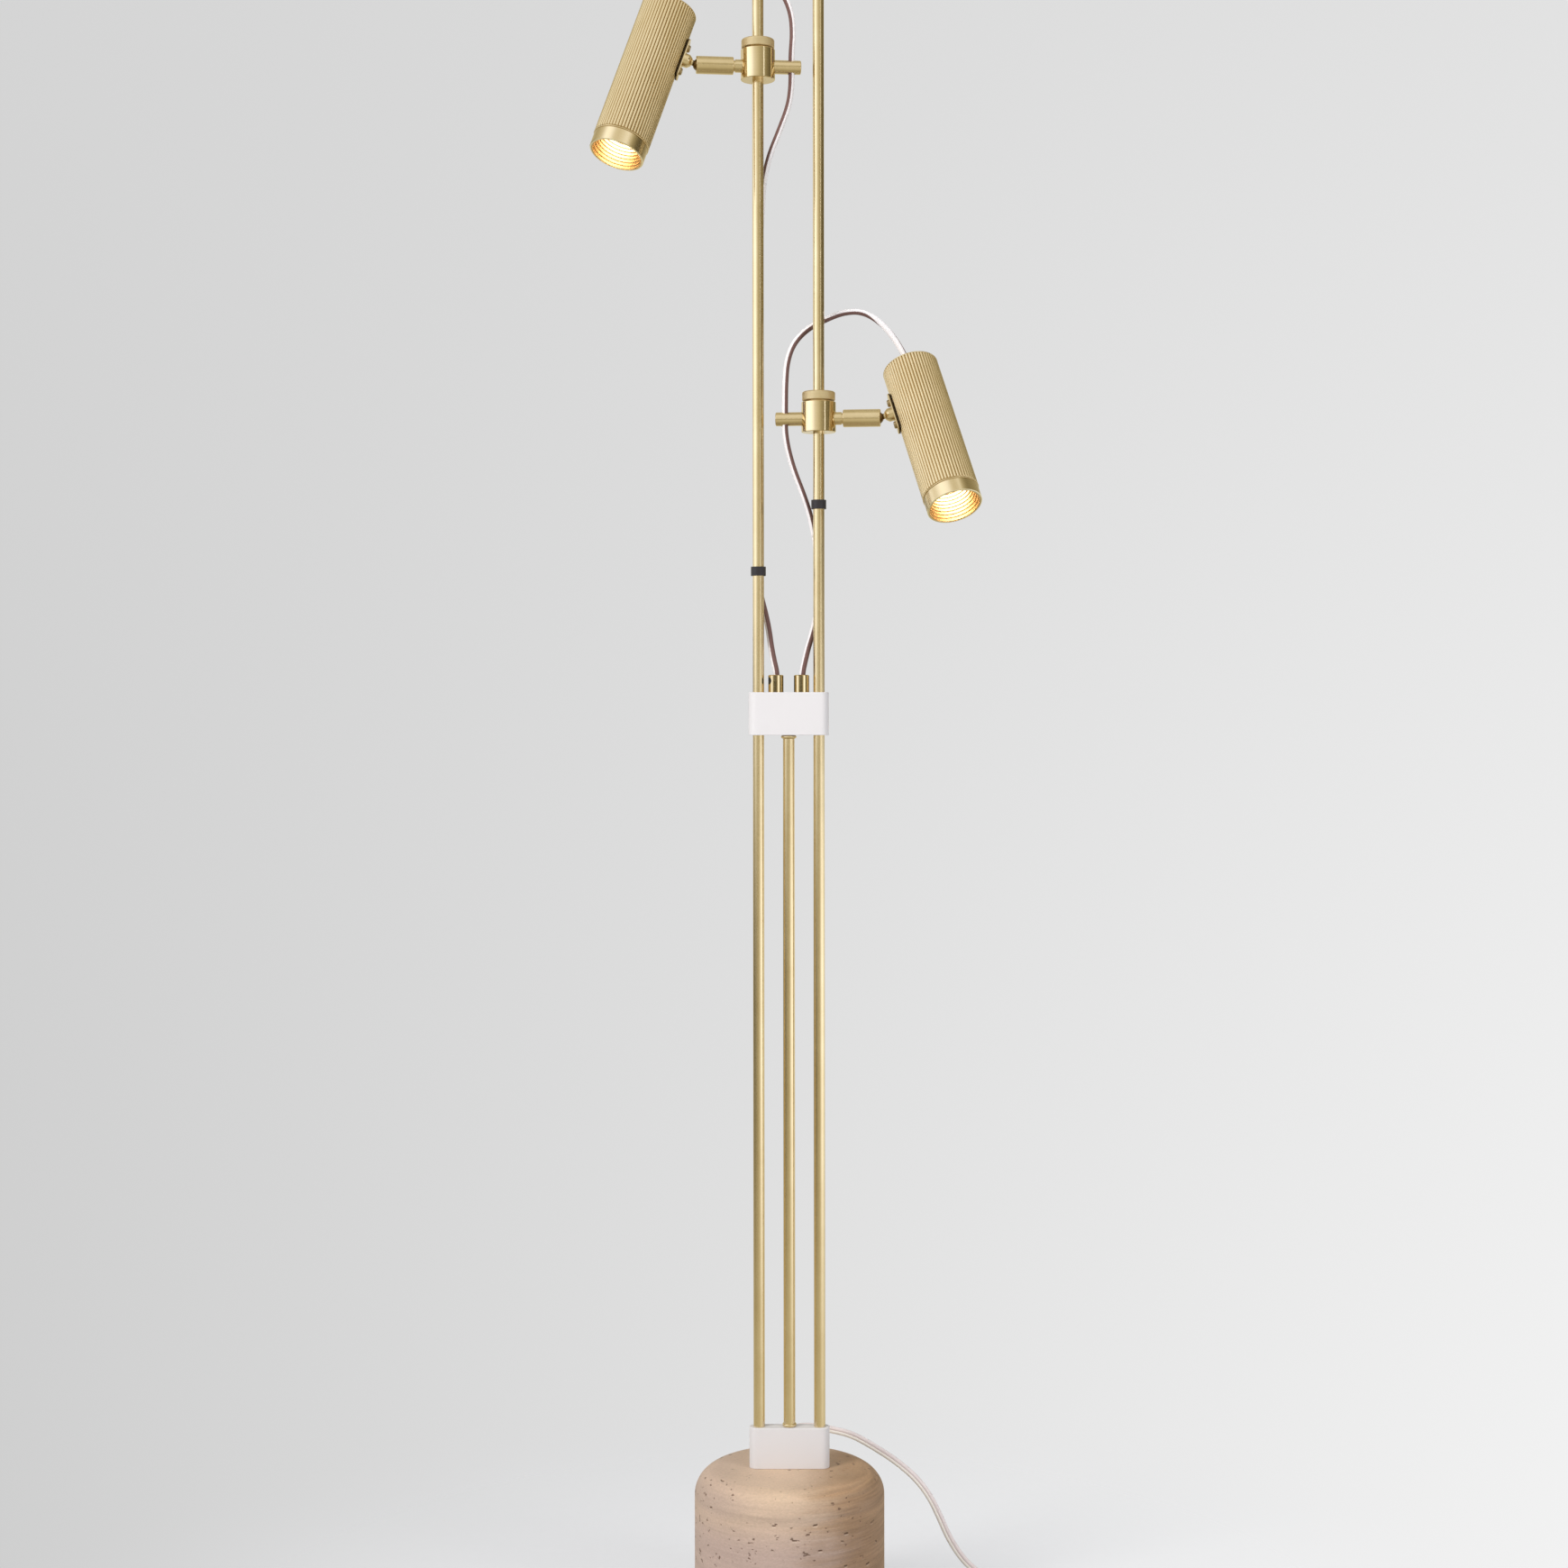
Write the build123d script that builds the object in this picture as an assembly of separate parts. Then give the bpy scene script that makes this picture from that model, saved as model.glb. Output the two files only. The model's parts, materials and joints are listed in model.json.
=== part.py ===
"""Twin-spot floor lamp: a travertine foot, two brass rods held by white blocks, two reeded spot heads.

Millimetres. +Z is up, the front faces -Y and the origin is the middle of the foot's underside.
The upper spot is clamped to the left rod and the lower spot to the right rod.
"""

from build123d import *
import math
import os

# Clearance between pieces that are fixed together, and between a pin and its hole
FIT = 0.05

# Foot
PAD_RADIUS = 76.0
PAD_THICKNESS = 2.0
FOOT_RADIUS = 84.0
FOOT_TOP = 140.0
FOOT_SHOULDER = 23.0
FOOT_EDGE = 2.0

# Bolts that hold the lower block to the foot, from pockets in the underside
BOLT_RADIUS = 3.0
BOLT_OFFSET = 13.0
BOLT_GRIP = 12.0
BOLT_HEAD_RADIUS = 5.0
BOLT_HEAD_HEIGHT = 6.0
POCKET_RADIUS = 9.0
POCKET_DEPTH = 80.0

# White blocks
BLOCK_WIDTH = 71.0
BLOCK_DEPTH = 15.0
BLOCK_CORNER = 6.8
BLOCK_EDGE = 0.6
LOWER_BLOCK_HEIGHT = 36.0
MIDDLE_BLOCK_BOTTOM = 789.0
MIDDLE_BLOCK_HEIGHT = 38.0
TOP_BLOCK_BOTTOM = 1530.0
TOP_BLOCK_HEIGHT = 38.0

# Rods
ROD_RADIUS = 5.0
ROD_OFFSET = 26.8
ROD_SEAT = 24.0

# Centre conduit and its bead ferrules
CONDUIT_RADIUS = 5.2
CONDUIT_BORE = 3.7
CONDUIT_SEAT = 12.0
FERRULE_RADIUS = 6.2
FERRULE_HEIGHT = 3.2
FERRULE_ROUND = 1.2

# Grub screws
GRUB_RADIUS = 2.0
GRUB_SUNK = 0.3
GRUB_KEY = 1.1
GRUB_KEY_DEPTH = 1.4

# Cord glands on the middle block
GLAND_OFFSET = 11.4
GLAND_RADIUS = 6.75
GLAND_HEIGHT = 15.4
GLAND_BORE = 3.9
GLAND_SPIGOT_RADIUS = 5.0
GLAND_SPIGOT_LENGTH = 9.0
GLAND_EDGE = 0.6
GLAND_SCREW_BELOW_TOP = 5.0
LEFT_GLAND_SCREW_ANGLE = 200.0
RIGHT_GLAND_SCREW_ANGLE = 60.0

# Rubber bands on the rods
BAND_THICKNESS = 1.6
BAND_HEIGHT = 8.0
LEFT_BAND_ABOVE_BLOCK = 107.3
RIGHT_BAND_ABOVE_BLOCK = 166.5

# Spot cords
CORD_RADIUS = 2.7
CORD_BEHIND_ROD = 8.3

# Clamp round the rod
COLLET_RADIUS = 7.0
CLAMP_RADIUS = 15.25
CLAMP_HEIGHT = 27.0
CLAMP_BELOW_ARM = 12.2
CLAMP_EDGE = 0.5
CLAMP_SPIGOT_RADIUS = 10.5
CLAMP_SPIGOT_HEIGHT = 6.0
NUT_RADIUS = 14.65
NUT_HEIGHT = 8.0
NUT_GAP = 1.2
NUT_ROUND = 1.8
NUT_ROD_GAP = 0.4
NUT_ROOF_GAP = 0.4

# Stems that screw into the clamp body
STEM_RADIUS = 3.5
STEM_WALL = 1.5

# Tail with the cord hole
TAIL_RADIUS = 6.1
TAIL_REACH = 38.2
TAIL_HOLE_REACH = 30.0
TAIL_HOLE_RADIUS = 3.2
TAIL_ROUND = 0.8

# Neck, and the sleeve that rolls on its spindle
ARM_YAW = 6.5
NECK_RADIUS = 5.7
NECK_END = 20.4
GROOVE_RADIUS = 4.8
SLEEVE_START = 21.9
SLEEVE_END = 55.0
SLEEVE_RADIUS = 7.8
SLEEVE_ROUND = 0.8
SPINDLE_RADIUS = 4.0
SPINDLE_LENGTH = 18.0
SPINDLE_END_GAP = 0.3

# Ball joint
BALL_RADIUS = 5.5
BALL_REACH = 52.5
BALL_CLEARANCE = 0.3
STUD_RADIUS = 2.5
STUD_HUB_RADIUS = 6.0
STUD_HUB_NOSE_RADIUS = 3.6
STUD_HUB_LENGTH = 7.0
STUD_HUB_TAPER = 3.0

# Mounting plate on the head's side
PLATE_LENGTH = 39.0
PLATE_WIDTH = 12.0
PLATE_THICKNESS = 2.2
PLATE_CORNER = 3.0
PLATE_SCREW_OFFSET = 12.0
SCREW_RADIUS = 1.5
SCREW_HEAD_RADIUS = 3.2
SCREW_HEAD_HEIGHT = 2.0
SCREW_PAST_WALL = 1.5

# Reeded head
HEAD_OFFSET = 41.0
HEAD_RADIUS = 25.0
HEAD_BORE = 22.0
HEAD_ABOVE_PLATE = 42.5
REEDED_LENGTH = 138.0
REEDS = 54
REED_DEPTH = 0.8
REED_END = 1.0
CAP_THICKNESS = 5.0
BUSH_RADIUS = 4.6
BUSH_BORE = 3.2
BUSH_COLLAR_RADIUS = 6.4
BUSH_COLLAR_HEIGHT = 2.5
BUSH_ROUND = 0.8

# Front ring and its baffle
RING_HEIGHT = 14.0
RING_RADIUS = 24.5
RING_WALL = 1.5
RING_WEB = 2.0
RING_EDGE = 0.5
RING_SPIGOT_LENGTH = 12.0
RING_SPIGOT_WALL = 1.5
RING_SCREW_ABOVE = 5.0
BAFFLE_STEPS = 9
BAFFLE_STEP_HEIGHT = 3.0
BAFFLE_MOUTH_WALL = 0.7
BAFFLE_THROAT = 15.9
BAFFLE_INSET = 0.5

# Lamp and its holder
LENS_RADIUS = 17.4
LENS_THICKNESS = 3.0
LAMP_RIM_HEIGHT = 5.0
LAMP_NECK_RADIUS = 9.6
LAMP_BOWL_HEIGHT = 28.0
LAMP_BOWL_BULGE = 1.2
LAMP_BASE_RADIUS = 8.4
LAMP_BASE_LENGTH = 16.0
HOLDER_RADIUS = 12.5
HOLDER_ABOVE_LAMP = 8.0
HOLDER_DISC_THICKNESS = 3.0
HOLDER_SEAT_LENGTH = 14.0

# How the two spots stand: heights of their arms, and the outward tilt and forward roll of their heads
LEFT = -1
RIGHT = 1
UPPER_ARM_BELOW_TOP_BLOCK = 148.0
UPPER_TILT = 18.8
UPPER_ROLL = 16.0
LOWER_ARM_ABOVE_MIDDLE_BLOCK = 242.6
LOWER_TILT = 16.3
LOWER_ROLL = 28.0

# Mains lead
LEAD_RADIUS = 3.25
RELIEF_ABOVE_FOOT = 18.0
RELIEF_LENGTH = 26.0
RELIEF_SPIGOT_RADIUS = 4.0
RELIEF_SPIGOT_LENGTH = 6.0
RELIEF_ROOT_RADIUS = 5.2
RELIEF_TIP_RADIUS = 3.8
RELIEF_COLLAR_RADIUS = 6.4
RELIEF_COLLAR_LENGTH = 3.0

# Put-away coil of the lead, two layers high, with its tie
COIL_X = 161.45
COIL_Y = 4.0
COIL_INNER = 22.0
COIL_PITCH = 7.3
COIL_TURNS_A_LAYER = 3.5
COIL_ABOVE_FLOOR = 1.2
BIARCS_A_TURN = 4
TIE_GAP = 0.3
TIE_THICKNESS = 0.8
TIE_WIDTH = 8.0
TIE_CORNER = 3.0

# Plug
PLUG_LENGTH = 36.0
PLUG_WIDTH = 26.0
PLUG_THICKNESS = 14.4
PLUG_ABOVE_FLOOR = 0.2
PLUG_ROUND = 4.0
PLUG_FROM_COIL = 36.0
PLUG_SLEEVE_LENGTH = 14.0
PLUG_SLEEVE_RADIUS = 4.6
PIN_RADIUS = 2.0
PIN_LENGTH = 19.0
PIN_SPACING = 19.0
PIN_SEAT = 8.0

# A cord's bend takes this share of the shorter run beside it
BEND_SHARE = 0.45

# Routes of the cords, point by point
UPPER_RUN_ROUTE = [
    (-10.7, 0.0, 833.0),
    (-10.3, 0.2, 843.0),
    (-13.2, 1.6, 855.0),
    (-15.7, 4.0, 868.0),
    (-17.4, 6.3, 881.0),
    (-20.4, 8.1, 896.0),
    (-24.4, 8.9, 911.0),
    (-26.8, 8.3, 923.5),
    (-26.8, 8.3, 934.3),
]
UPPER_SLACK_ROUTE = [
    (-26.8, 8.3, 934.3),
    (-26.8, 8.3, 975.0),
    (-26.4, 8.7, 1020.0),
    (-26.5, 8.4, 1070.0),
    (-27.1, 8.9, 1125.0),
    (-26.5, 8.6, 1190.0),
    (-25.4, 9.0, 1228.0),
    (-23.4, 9.0, 1256.0),
    (-22.3, 8.8, 1280.0),
    (-17.4, 8.0, 1303.0),
    (-8.0, 6.4, 1326.0),
    (0.6, 4.6, 1348.0),
    (3.0, 3.4, 1365.0),
    (3.0, 3.4, 1382.0),
]
UPPER_LOOP_ROUTE = [
    (3.0, 3.4, 1382.0),
    (3.0, 3.4, 1394.0),
    (4.6, 5.2, 1414.0),
    (2.6, 7.6, 1434.0),
    (-6.0, 10.5, 1453.0),
    (-20.0, 13.0, 1468.0),
    (-38.0, 14.2, 1476.5),
    (-57.0, 14.0, 1477.5),
    (-75.0, 13.0, 1470.0),
    (-89.0, 11.5, 1458.0),
    (-98.4, 9.6, 1446.0),
    (-104.71, 6.74, 1436.1),
    (-106.73, 4.68, 1429.78),
]
LOWER_SLACK_ROUTE = [
    (11.6, 0.0, 833.0),
    (11.9, 0.3, 843.5),
    (14.4, 1.8, 855.0),
    (17.0, 4.2, 866.0),
    (20.4, 6.8, 877.0),
    (23.8, 8.8, 890.0),
    (26.2, 9.6, 906.0),
    (26.8, 9.7, 926.0),
    (25.6, 9.4, 945.0),
    (23.2, 8.9, 966.0),
    (19.0, 8.0, 986.0),
    (12.4, 6.8, 1005.0),
    (4.8, 5.6, 1024.0),
    (-0.6, 4.4, 1043.0),
    (-3.0, 3.4, 1058.0),
    (-3.0, 3.4, 1069.6),
]
LOWER_LOOP_ROUTE = [
    (-3.0, 3.4, 1069.6),
    (-3.0, 3.4, 1082.0),
    (-2.8, 5.0, 1101.0),
    (-1.4, 7.2, 1121.0),
    (4.4, 9.6, 1138.0),
    (17.0, 12.4, 1151.5),
    (33.0, 15.2, 1160.0),
    (49.5, 18.0, 1167.0),
    (66.0, 20.4, 1168.2),
    (82.0, 22.0, 1159.6),
    (95.0, 22.2, 1144.6),
    (103.6, 20.6, 1129.5),
    (108.3, 16.8, 1118.36),
    (109.89, 13.45, 1112.43),
]
LEAD_ROUTE = [
    (0.0, 33.5, 158.0),
    (0.0, 44.0, 158.0),
    (4.4, 57.0, 157.8),
    (13.4, 67.4, 156.6),
    (26.0, 73.2, 153.8),
    (40.0, 74.0, 151.2),
    (57.0, 72.0, 147.6),
    (76.0, 69.0, 138.0),
    (97.0, 65.6, 125.4),
    (115.0, 62.2, 111.2),
    (127.5, 59.6, 95.4),
    (136.0, 58.0, 78.6),
    (145.0, 57.0, 57.6),
    (157.5, 56.2, 38.4),
    (171.5, 55.4, 26.0),
    (186.0, 51.8, 18.4),
    (198.6, 44.0, 14.2),
    (206.4, 32.0, 12.2),
    (209.0, 19.5, 11.75),
    (209.0, 10.5, 11.75),
]

UPWARD = (Align.CENTER, Align.CENTER, Align.MIN)


def upright(radius, bottom, top, x=0.0, y=0.0):
    """A cylinder along Z."""
    return Pos(x, y, bottom) * Cylinder(radius, top - bottom, align=UPWARD)


def lying(radius, start, end, z=0.0):
    """A cylinder along X."""
    return Pos(start, 0, z) * Rot(0, 90, 0) * Cylinder(radius, end - start, align=UPWARD)


def turned(*outline):
    """A solid of revolution about Z, from (radius, height) corners."""
    corners = [(radius, 0, height) for radius, height in outline]
    return revolve(make_face(Polyline(*corners, close=True)), Axis.Z)


def rim(solid, place):
    """The edges of a solid at its lowest (0) or highest (-1) level."""
    return solid.edges().group_by(Axis.Z)[place]


def group(solids):
    """Separate solids that share one node."""
    return Compound(children=[piece for solid in solids for piece in solid.solids()])


def rod_positions():
    return [(side * ROD_OFFSET, 0.0) for side in (LEFT, RIGHT)]


def bolt_positions():
    return [(side * BOLT_OFFSET, 0.0) for side in (LEFT, RIGHT)]


def gland_positions():
    return [(side * GLAND_OFFSET, 0.0) for side in (LEFT, RIGHT)]


LOWER_BLOCK_TOP = FOOT_TOP + LOWER_BLOCK_HEIGHT
MIDDLE_BLOCK_TOP = MIDDLE_BLOCK_BOTTOM + MIDDLE_BLOCK_HEIGHT
ROD_BOTTOM = LOWER_BLOCK_TOP - ROD_SEAT
ROD_TOP = TOP_BLOCK_BOTTOM + ROD_SEAT
BLOCK_REAR = BLOCK_DEPTH / 2
POCKET_ROOF = PAD_THICKNESS + POCKET_DEPTH
RELIEF_HEIGHT = FOOT_TOP + RELIEF_ABOVE_FOOT
LEFT_BAND_MIDDLE = MIDDLE_BLOCK_TOP + LEFT_BAND_ABOVE_BLOCK
RIGHT_BAND_MIDDLE = MIDDLE_BLOCK_TOP + RIGHT_BAND_ABOVE_BLOCK
UPPER_ARM_HEIGHT = TOP_BLOCK_BOTTOM - UPPER_ARM_BELOW_TOP_BLOCK
LOWER_ARM_HEIGHT = MIDDLE_BLOCK_TOP + LOWER_ARM_ABOVE_MIDDLE_BLOCK


def base_pad():
    return upright(PAD_RADIUS, 0, PAD_THICKNESS)


def travertine_foot():
    foot = upright(FOOT_RADIUS, PAD_THICKNESS, FOOT_TOP)
    foot = fillet(rim(foot, -1), FOOT_SHOULDER)
    foot = chamfer(rim(foot, 0), FOOT_EDGE)
    for x, y in bolt_positions():
        foot -= upright(POCKET_RADIUS, PAD_THICKNESS, POCKET_ROOF, x, y)
        foot -= upright(BOLT_RADIUS + FIT, POCKET_ROOF, FOOT_TOP, x, y)
    return foot


def base_bolts():
    bolts = []
    for x, y in bolt_positions():
        head = upright(BOLT_HEAD_RADIUS, POCKET_ROOF - BOLT_HEAD_HEIGHT, POCKET_ROOF, x, y)
        shank = upright(BOLT_RADIUS, POCKET_ROOF, FOOT_TOP + BOLT_GRIP, x, y)
        key = Pos(x, y, POCKET_ROOF - BOLT_HEAD_HEIGHT) * RegularPolygon(BOLT_RADIUS, 6)
        bolts.append(head + shank - extrude(key, BOLT_HEAD_HEIGHT / 2))
    return group(bolts)


def block(bottom, height):
    """A plain white block with rounded uprights and softened flat edges."""
    corner = min(BLOCK_CORNER, BLOCK_DEPTH / 2 - BLOCK_EDGE)
    body = Pos(0, 0, bottom) * extrude(RectangleRounded(BLOCK_WIDTH, BLOCK_DEPTH, corner), height)
    body = fillet(rim(body, 0) + rim(body, -1), BLOCK_EDGE)
    for x, y in rod_positions():
        body -= Pos(x, BLOCK_REAR, bottom + height / 2) * rear_hole(GRUB_RADIUS + FIT, BLOCK_REAR)
    return body


def rear_hole(radius, depth):
    """A hole from the rear face of a block towards its middle, its mouth at the origin."""
    return Rot(90, 0, 0) * Cylinder(radius, depth, align=UPWARD)


def lower_block():
    body = block(FOOT_TOP, LOWER_BLOCK_HEIGHT)
    for x, y in rod_positions():
        body -= upright(ROD_RADIUS + FIT, ROD_BOTTOM, LOWER_BLOCK_TOP, x, y)
    for x, y in bolt_positions():
        body -= upright(BOLT_RADIUS + FIT, FOOT_TOP, FOOT_TOP + BOLT_GRIP, x, y)
    body -= upright(CONDUIT_RADIUS + FIT, LOWER_BLOCK_TOP - CONDUIT_SEAT, LOWER_BLOCK_TOP)
    body -= Pos(0, BLOCK_REAR, RELIEF_HEIGHT) * rear_hole(RELIEF_SPIGOT_RADIUS + FIT, RELIEF_SPIGOT_LENGTH)
    return body


def middle_block():
    body = block(MIDDLE_BLOCK_BOTTOM, MIDDLE_BLOCK_HEIGHT)
    for x, y in rod_positions():
        body -= upright(ROD_RADIUS + FIT, MIDDLE_BLOCK_BOTTOM, MIDDLE_BLOCK_TOP, x, y)
    for x, y in gland_positions():
        spigot_end = MIDDLE_BLOCK_TOP - GLAND_SPIGOT_LENGTH
        body -= upright(GLAND_SPIGOT_RADIUS + FIT, spigot_end, MIDDLE_BLOCK_TOP, x, y)
    body -= upright(CONDUIT_RADIUS + FIT, MIDDLE_BLOCK_BOTTOM, MIDDLE_BLOCK_BOTTOM + CONDUIT_SEAT)
    return body


def top_block():
    body = block(TOP_BLOCK_BOTTOM, TOP_BLOCK_HEIGHT)
    for x, y in rod_positions():
        body -= upright(ROD_RADIUS + FIT, TOP_BLOCK_BOTTOM, ROD_TOP, x, y)
    return body


def rod(side):
    return upright(ROD_RADIUS, ROD_BOTTOM, ROD_TOP, side * ROD_OFFSET)


def conduit():
    bottom = LOWER_BLOCK_TOP - CONDUIT_SEAT
    top = MIDDLE_BLOCK_BOTTOM + CONDUIT_SEAT
    return upright(CONDUIT_RADIUS, bottom, top) - upright(CONDUIT_BORE, bottom, top)


def ferrules():
    rings = []
    for bottom in (LOWER_BLOCK_TOP, MIDDLE_BLOCK_BOTTOM - FERRULE_HEIGHT):
        bead = upright(FERRULE_RADIUS, bottom, bottom + FERRULE_HEIGHT)
        bead = fillet(bead.edges().filter_by(GeomType.CIRCLE), FERRULE_ROUND)
        rings.append(bead - upright(CONDUIT_RADIUS + FIT, bottom, bottom + FERRULE_HEIGHT))
    return group(rings)


def grub_screw(length):
    """A headless screw along +Z, its hexagon key socket at the top."""
    key = Pos(0, 0, length - GRUB_KEY_DEPTH) * RegularPolygon(GRUB_KEY, 6)
    return Cylinder(GRUB_RADIUS, length, align=UPWARD) - extrude(key, GRUB_KEY_DEPTH)


def grub_screws():
    """The screws behind each block that lock the rods, and one in each gland."""
    screws = []
    rod_screw_length = BLOCK_REAR - GRUB_SUNK - ROD_RADIUS - FIT
    block_middles = [
        FOOT_TOP + LOWER_BLOCK_HEIGHT / 2,
        MIDDLE_BLOCK_BOTTOM + MIDDLE_BLOCK_HEIGHT / 2,
        TOP_BLOCK_BOTTOM + TOP_BLOCK_HEIGHT / 2,
    ]
    for height in block_middles:
        for x, y in rod_positions():
            screws.append(Pos(x, ROD_RADIUS + FIT, height) * Rot(-90, 0, 0) * grub_screw(rod_screw_length))
    gland_screw_length = GLAND_RADIUS - GRUB_SUNK - GLAND_BORE
    for side, angle in ((LEFT, LEFT_GLAND_SCREW_ANGLE), (RIGHT, RIGHT_GLAND_SCREW_ANGLE)):
        seat = gland_screw_axis(side, angle) * Pos(0, 0, GLAND_BORE)
        screws.append(seat * grub_screw(gland_screw_length))
    return group(screws)


def gland_screw_axis(side, angle):
    """A place on the gland's axis whose +Z points out along its grub screw."""
    height = MIDDLE_BLOCK_TOP + GLAND_HEIGHT - GLAND_SCREW_BELOW_TOP
    return Pos(side * GLAND_OFFSET, 0, height) * Rot(0, 0, angle) * Rot(0, 90, 0)


def cord_glands():
    glands = []
    for side, angle in ((LEFT, LEFT_GLAND_SCREW_ANGLE), (RIGHT, RIGHT_GLAND_SCREW_ANGLE)):
        x = side * GLAND_OFFSET
        bottom = MIDDLE_BLOCK_TOP - GLAND_SPIGOT_LENGTH
        top = MIDDLE_BLOCK_TOP + GLAND_HEIGHT
        body = upright(GLAND_RADIUS, MIDDLE_BLOCK_TOP, top, x)
        body = chamfer(rim(body, -1), GLAND_EDGE)
        body += upright(GLAND_SPIGOT_RADIUS, bottom, MIDDLE_BLOCK_TOP, x)
        body -= upright(GLAND_BORE, bottom, top, x)
        hole = Cylinder(GRUB_RADIUS + FIT, GLAND_RADIUS, align=UPWARD)
        glands.append(body - gland_screw_axis(side, angle) * hole)
    return group(glands)


def band_outline(thickness):
    """Outline of a band that goes round a rod and the cord behind it."""
    round_rod = Circle(ROD_RADIUS + FIT + thickness)
    round_cord = Pos(0, CORD_BEHIND_ROD) * Circle(CORD_RADIUS + FIT + thickness)
    return make_hull(round_rod.edges() + round_cord.edges())


def cord_bands():
    """The left band holds the cord to its rod, and the right one grips its rod alone."""
    left = extrude(band_outline(BAND_THICKNESS) - band_outline(0), BAND_HEIGHT)
    right = extrude(Circle(ROD_RADIUS + FIT + BAND_THICKNESS) - Circle(ROD_RADIUS + FIT), BAND_HEIGHT)
    return group([
        Pos(LEFT * ROD_OFFSET, 0, LEFT_BAND_MIDDLE - BAND_HEIGHT / 2) * left,
        Pos(RIGHT * ROD_OFFSET, 0, RIGHT_BAND_MIDDLE - BAND_HEIGHT / 2) * right,
    ])


# The clamp and the arm are drawn with the rod along Z and the arm along +X, at the origin's height

CLAMP_BOTTOM = -CLAMP_BELOW_ARM
CLAMP_TOP = CLAMP_BOTTOM + CLAMP_HEIGHT
SPIGOT_TOP = CLAMP_TOP + CLAMP_SPIGOT_HEIGHT
NUT_BOTTOM = CLAMP_TOP + NUT_GAP
NUT_TOP = NUT_BOTTOM + NUT_HEIGHT
STEM_START = COLLET_RADIUS + STEM_WALL


def collet():
    sleeve = upright(COLLET_RADIUS, CLAMP_BOTTOM, SPIGOT_TOP)
    return sleeve - upright(ROD_RADIUS + FIT, CLAMP_BOTTOM, SPIGOT_TOP)


def clamp_body():
    body = upright(CLAMP_RADIUS, CLAMP_BOTTOM, CLAMP_TOP)
    body = chamfer(rim(body, 0) + rim(body, -1), CLAMP_EDGE)
    body += upright(CLAMP_SPIGOT_RADIUS, CLAMP_TOP, SPIGOT_TOP)
    body -= upright(COLLET_RADIUS + FIT, CLAMP_BOTTOM, SPIGOT_TOP)
    body -= lying(STEM_RADIUS + FIT, STEM_START, CLAMP_RADIUS)
    body -= lying(STEM_RADIUS + FIT, -CLAMP_RADIUS, -STEM_START)
    return body


def clamp_nut():
    nut = upright(NUT_RADIUS, NUT_BOTTOM, NUT_TOP)
    nut = fillet(rim(nut, -1), NUT_ROUND)
    nut = chamfer(rim(nut, 0), CLAMP_EDGE)
    nut -= upright(CLAMP_SPIGOT_RADIUS + FIT, NUT_BOTTOM, SPIGOT_TOP + NUT_ROOF_GAP)
    nut -= upright(ROD_RADIUS + NUT_ROD_GAP, NUT_BOTTOM, NUT_TOP)
    return nut


def saddle():
    """The round of the clamp body, which the tail and the neck are cut to fit."""
    return upright(CLAMP_RADIUS + FIT, CLAMP_BOTTOM, CLAMP_TOP)


def tail_stub():
    bar = lying(TAIL_RADIUS, -TAIL_REACH, 0)
    bar = fillet(bar.edges().group_by(Axis.X)[0], TAIL_ROUND)
    bar -= saddle()
    bar += lying(STEM_RADIUS, -CLAMP_RADIUS - TAIL_RADIUS, -STEM_START)
    bar -= upright(TAIL_HOLE_RADIUS, -TAIL_RADIUS, TAIL_RADIUS, -TAIL_HOLE_REACH)
    return bar


def arm_neck():
    neck = lying(NECK_RADIUS, 0, NECK_END) - saddle()
    neck += lying(STEM_RADIUS, STEM_START, NECK_END)
    neck += lying(GROOVE_RADIUS, NECK_END, SLEEVE_START)
    neck += lying(SPINDLE_RADIUS, SLEEVE_START, SLEEVE_START + SPINDLE_LENGTH)
    return neck


def arm_sleeve():
    sleeve = lying(SLEEVE_RADIUS, SLEEVE_START, SLEEVE_END)
    sleeve = fillet(sleeve.edges().filter_by(GeomType.CIRCLE), SLEEVE_ROUND)
    sleeve -= lying(SPINDLE_RADIUS + FIT, SLEEVE_START, SLEEVE_START + SPINDLE_LENGTH + SPINDLE_END_GAP)
    sleeve -= Pos(BALL_REACH, 0, 0) * Sphere(BALL_RADIUS + BALL_CLEARANCE)
    return sleeve


# The head is drawn with the ball at the origin, the stud along +X and the head upright along Z

PLATE_FACE = HEAD_OFFSET - HEAD_RADIUS - PLATE_THICKNESS
REEDS_TOP = HEAD_ABOVE_PLATE
REEDS_BOTTOM = REEDS_TOP - REEDED_LENGTH
MOUTH = REEDS_BOTTOM - RING_HEIGHT
BAFFLE_BOTTOM = MOUTH + BAFFLE_INSET
BAFFLE_TOP = BAFFLE_BOTTOM + BAFFLE_STEPS * BAFFLE_STEP_HEIGHT
LENS_TOP = BAFFLE_TOP + LENS_THICKNESS
LAMP_BASE_START = LENS_TOP + LAMP_RIM_HEIGHT + LAMP_BOWL_HEIGHT
LAMP_BASE_END = LAMP_BASE_START + LAMP_BASE_LENGTH
HEAD_AXIS = Pos(HEAD_OFFSET, 0, 0)
RING_INNER = RING_RADIUS - RING_WALL
RING_SHOULDER = REEDS_BOTTOM - RING_WEB
SPIGOT_OUTER = HEAD_BORE - FIT
SPIGOT_INNER = SPIGOT_OUTER - RING_SPIGOT_WALL


def plate_screw_heights():
    return [-PLATE_SCREW_OFFSET, PLATE_SCREW_OFFSET]


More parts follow.
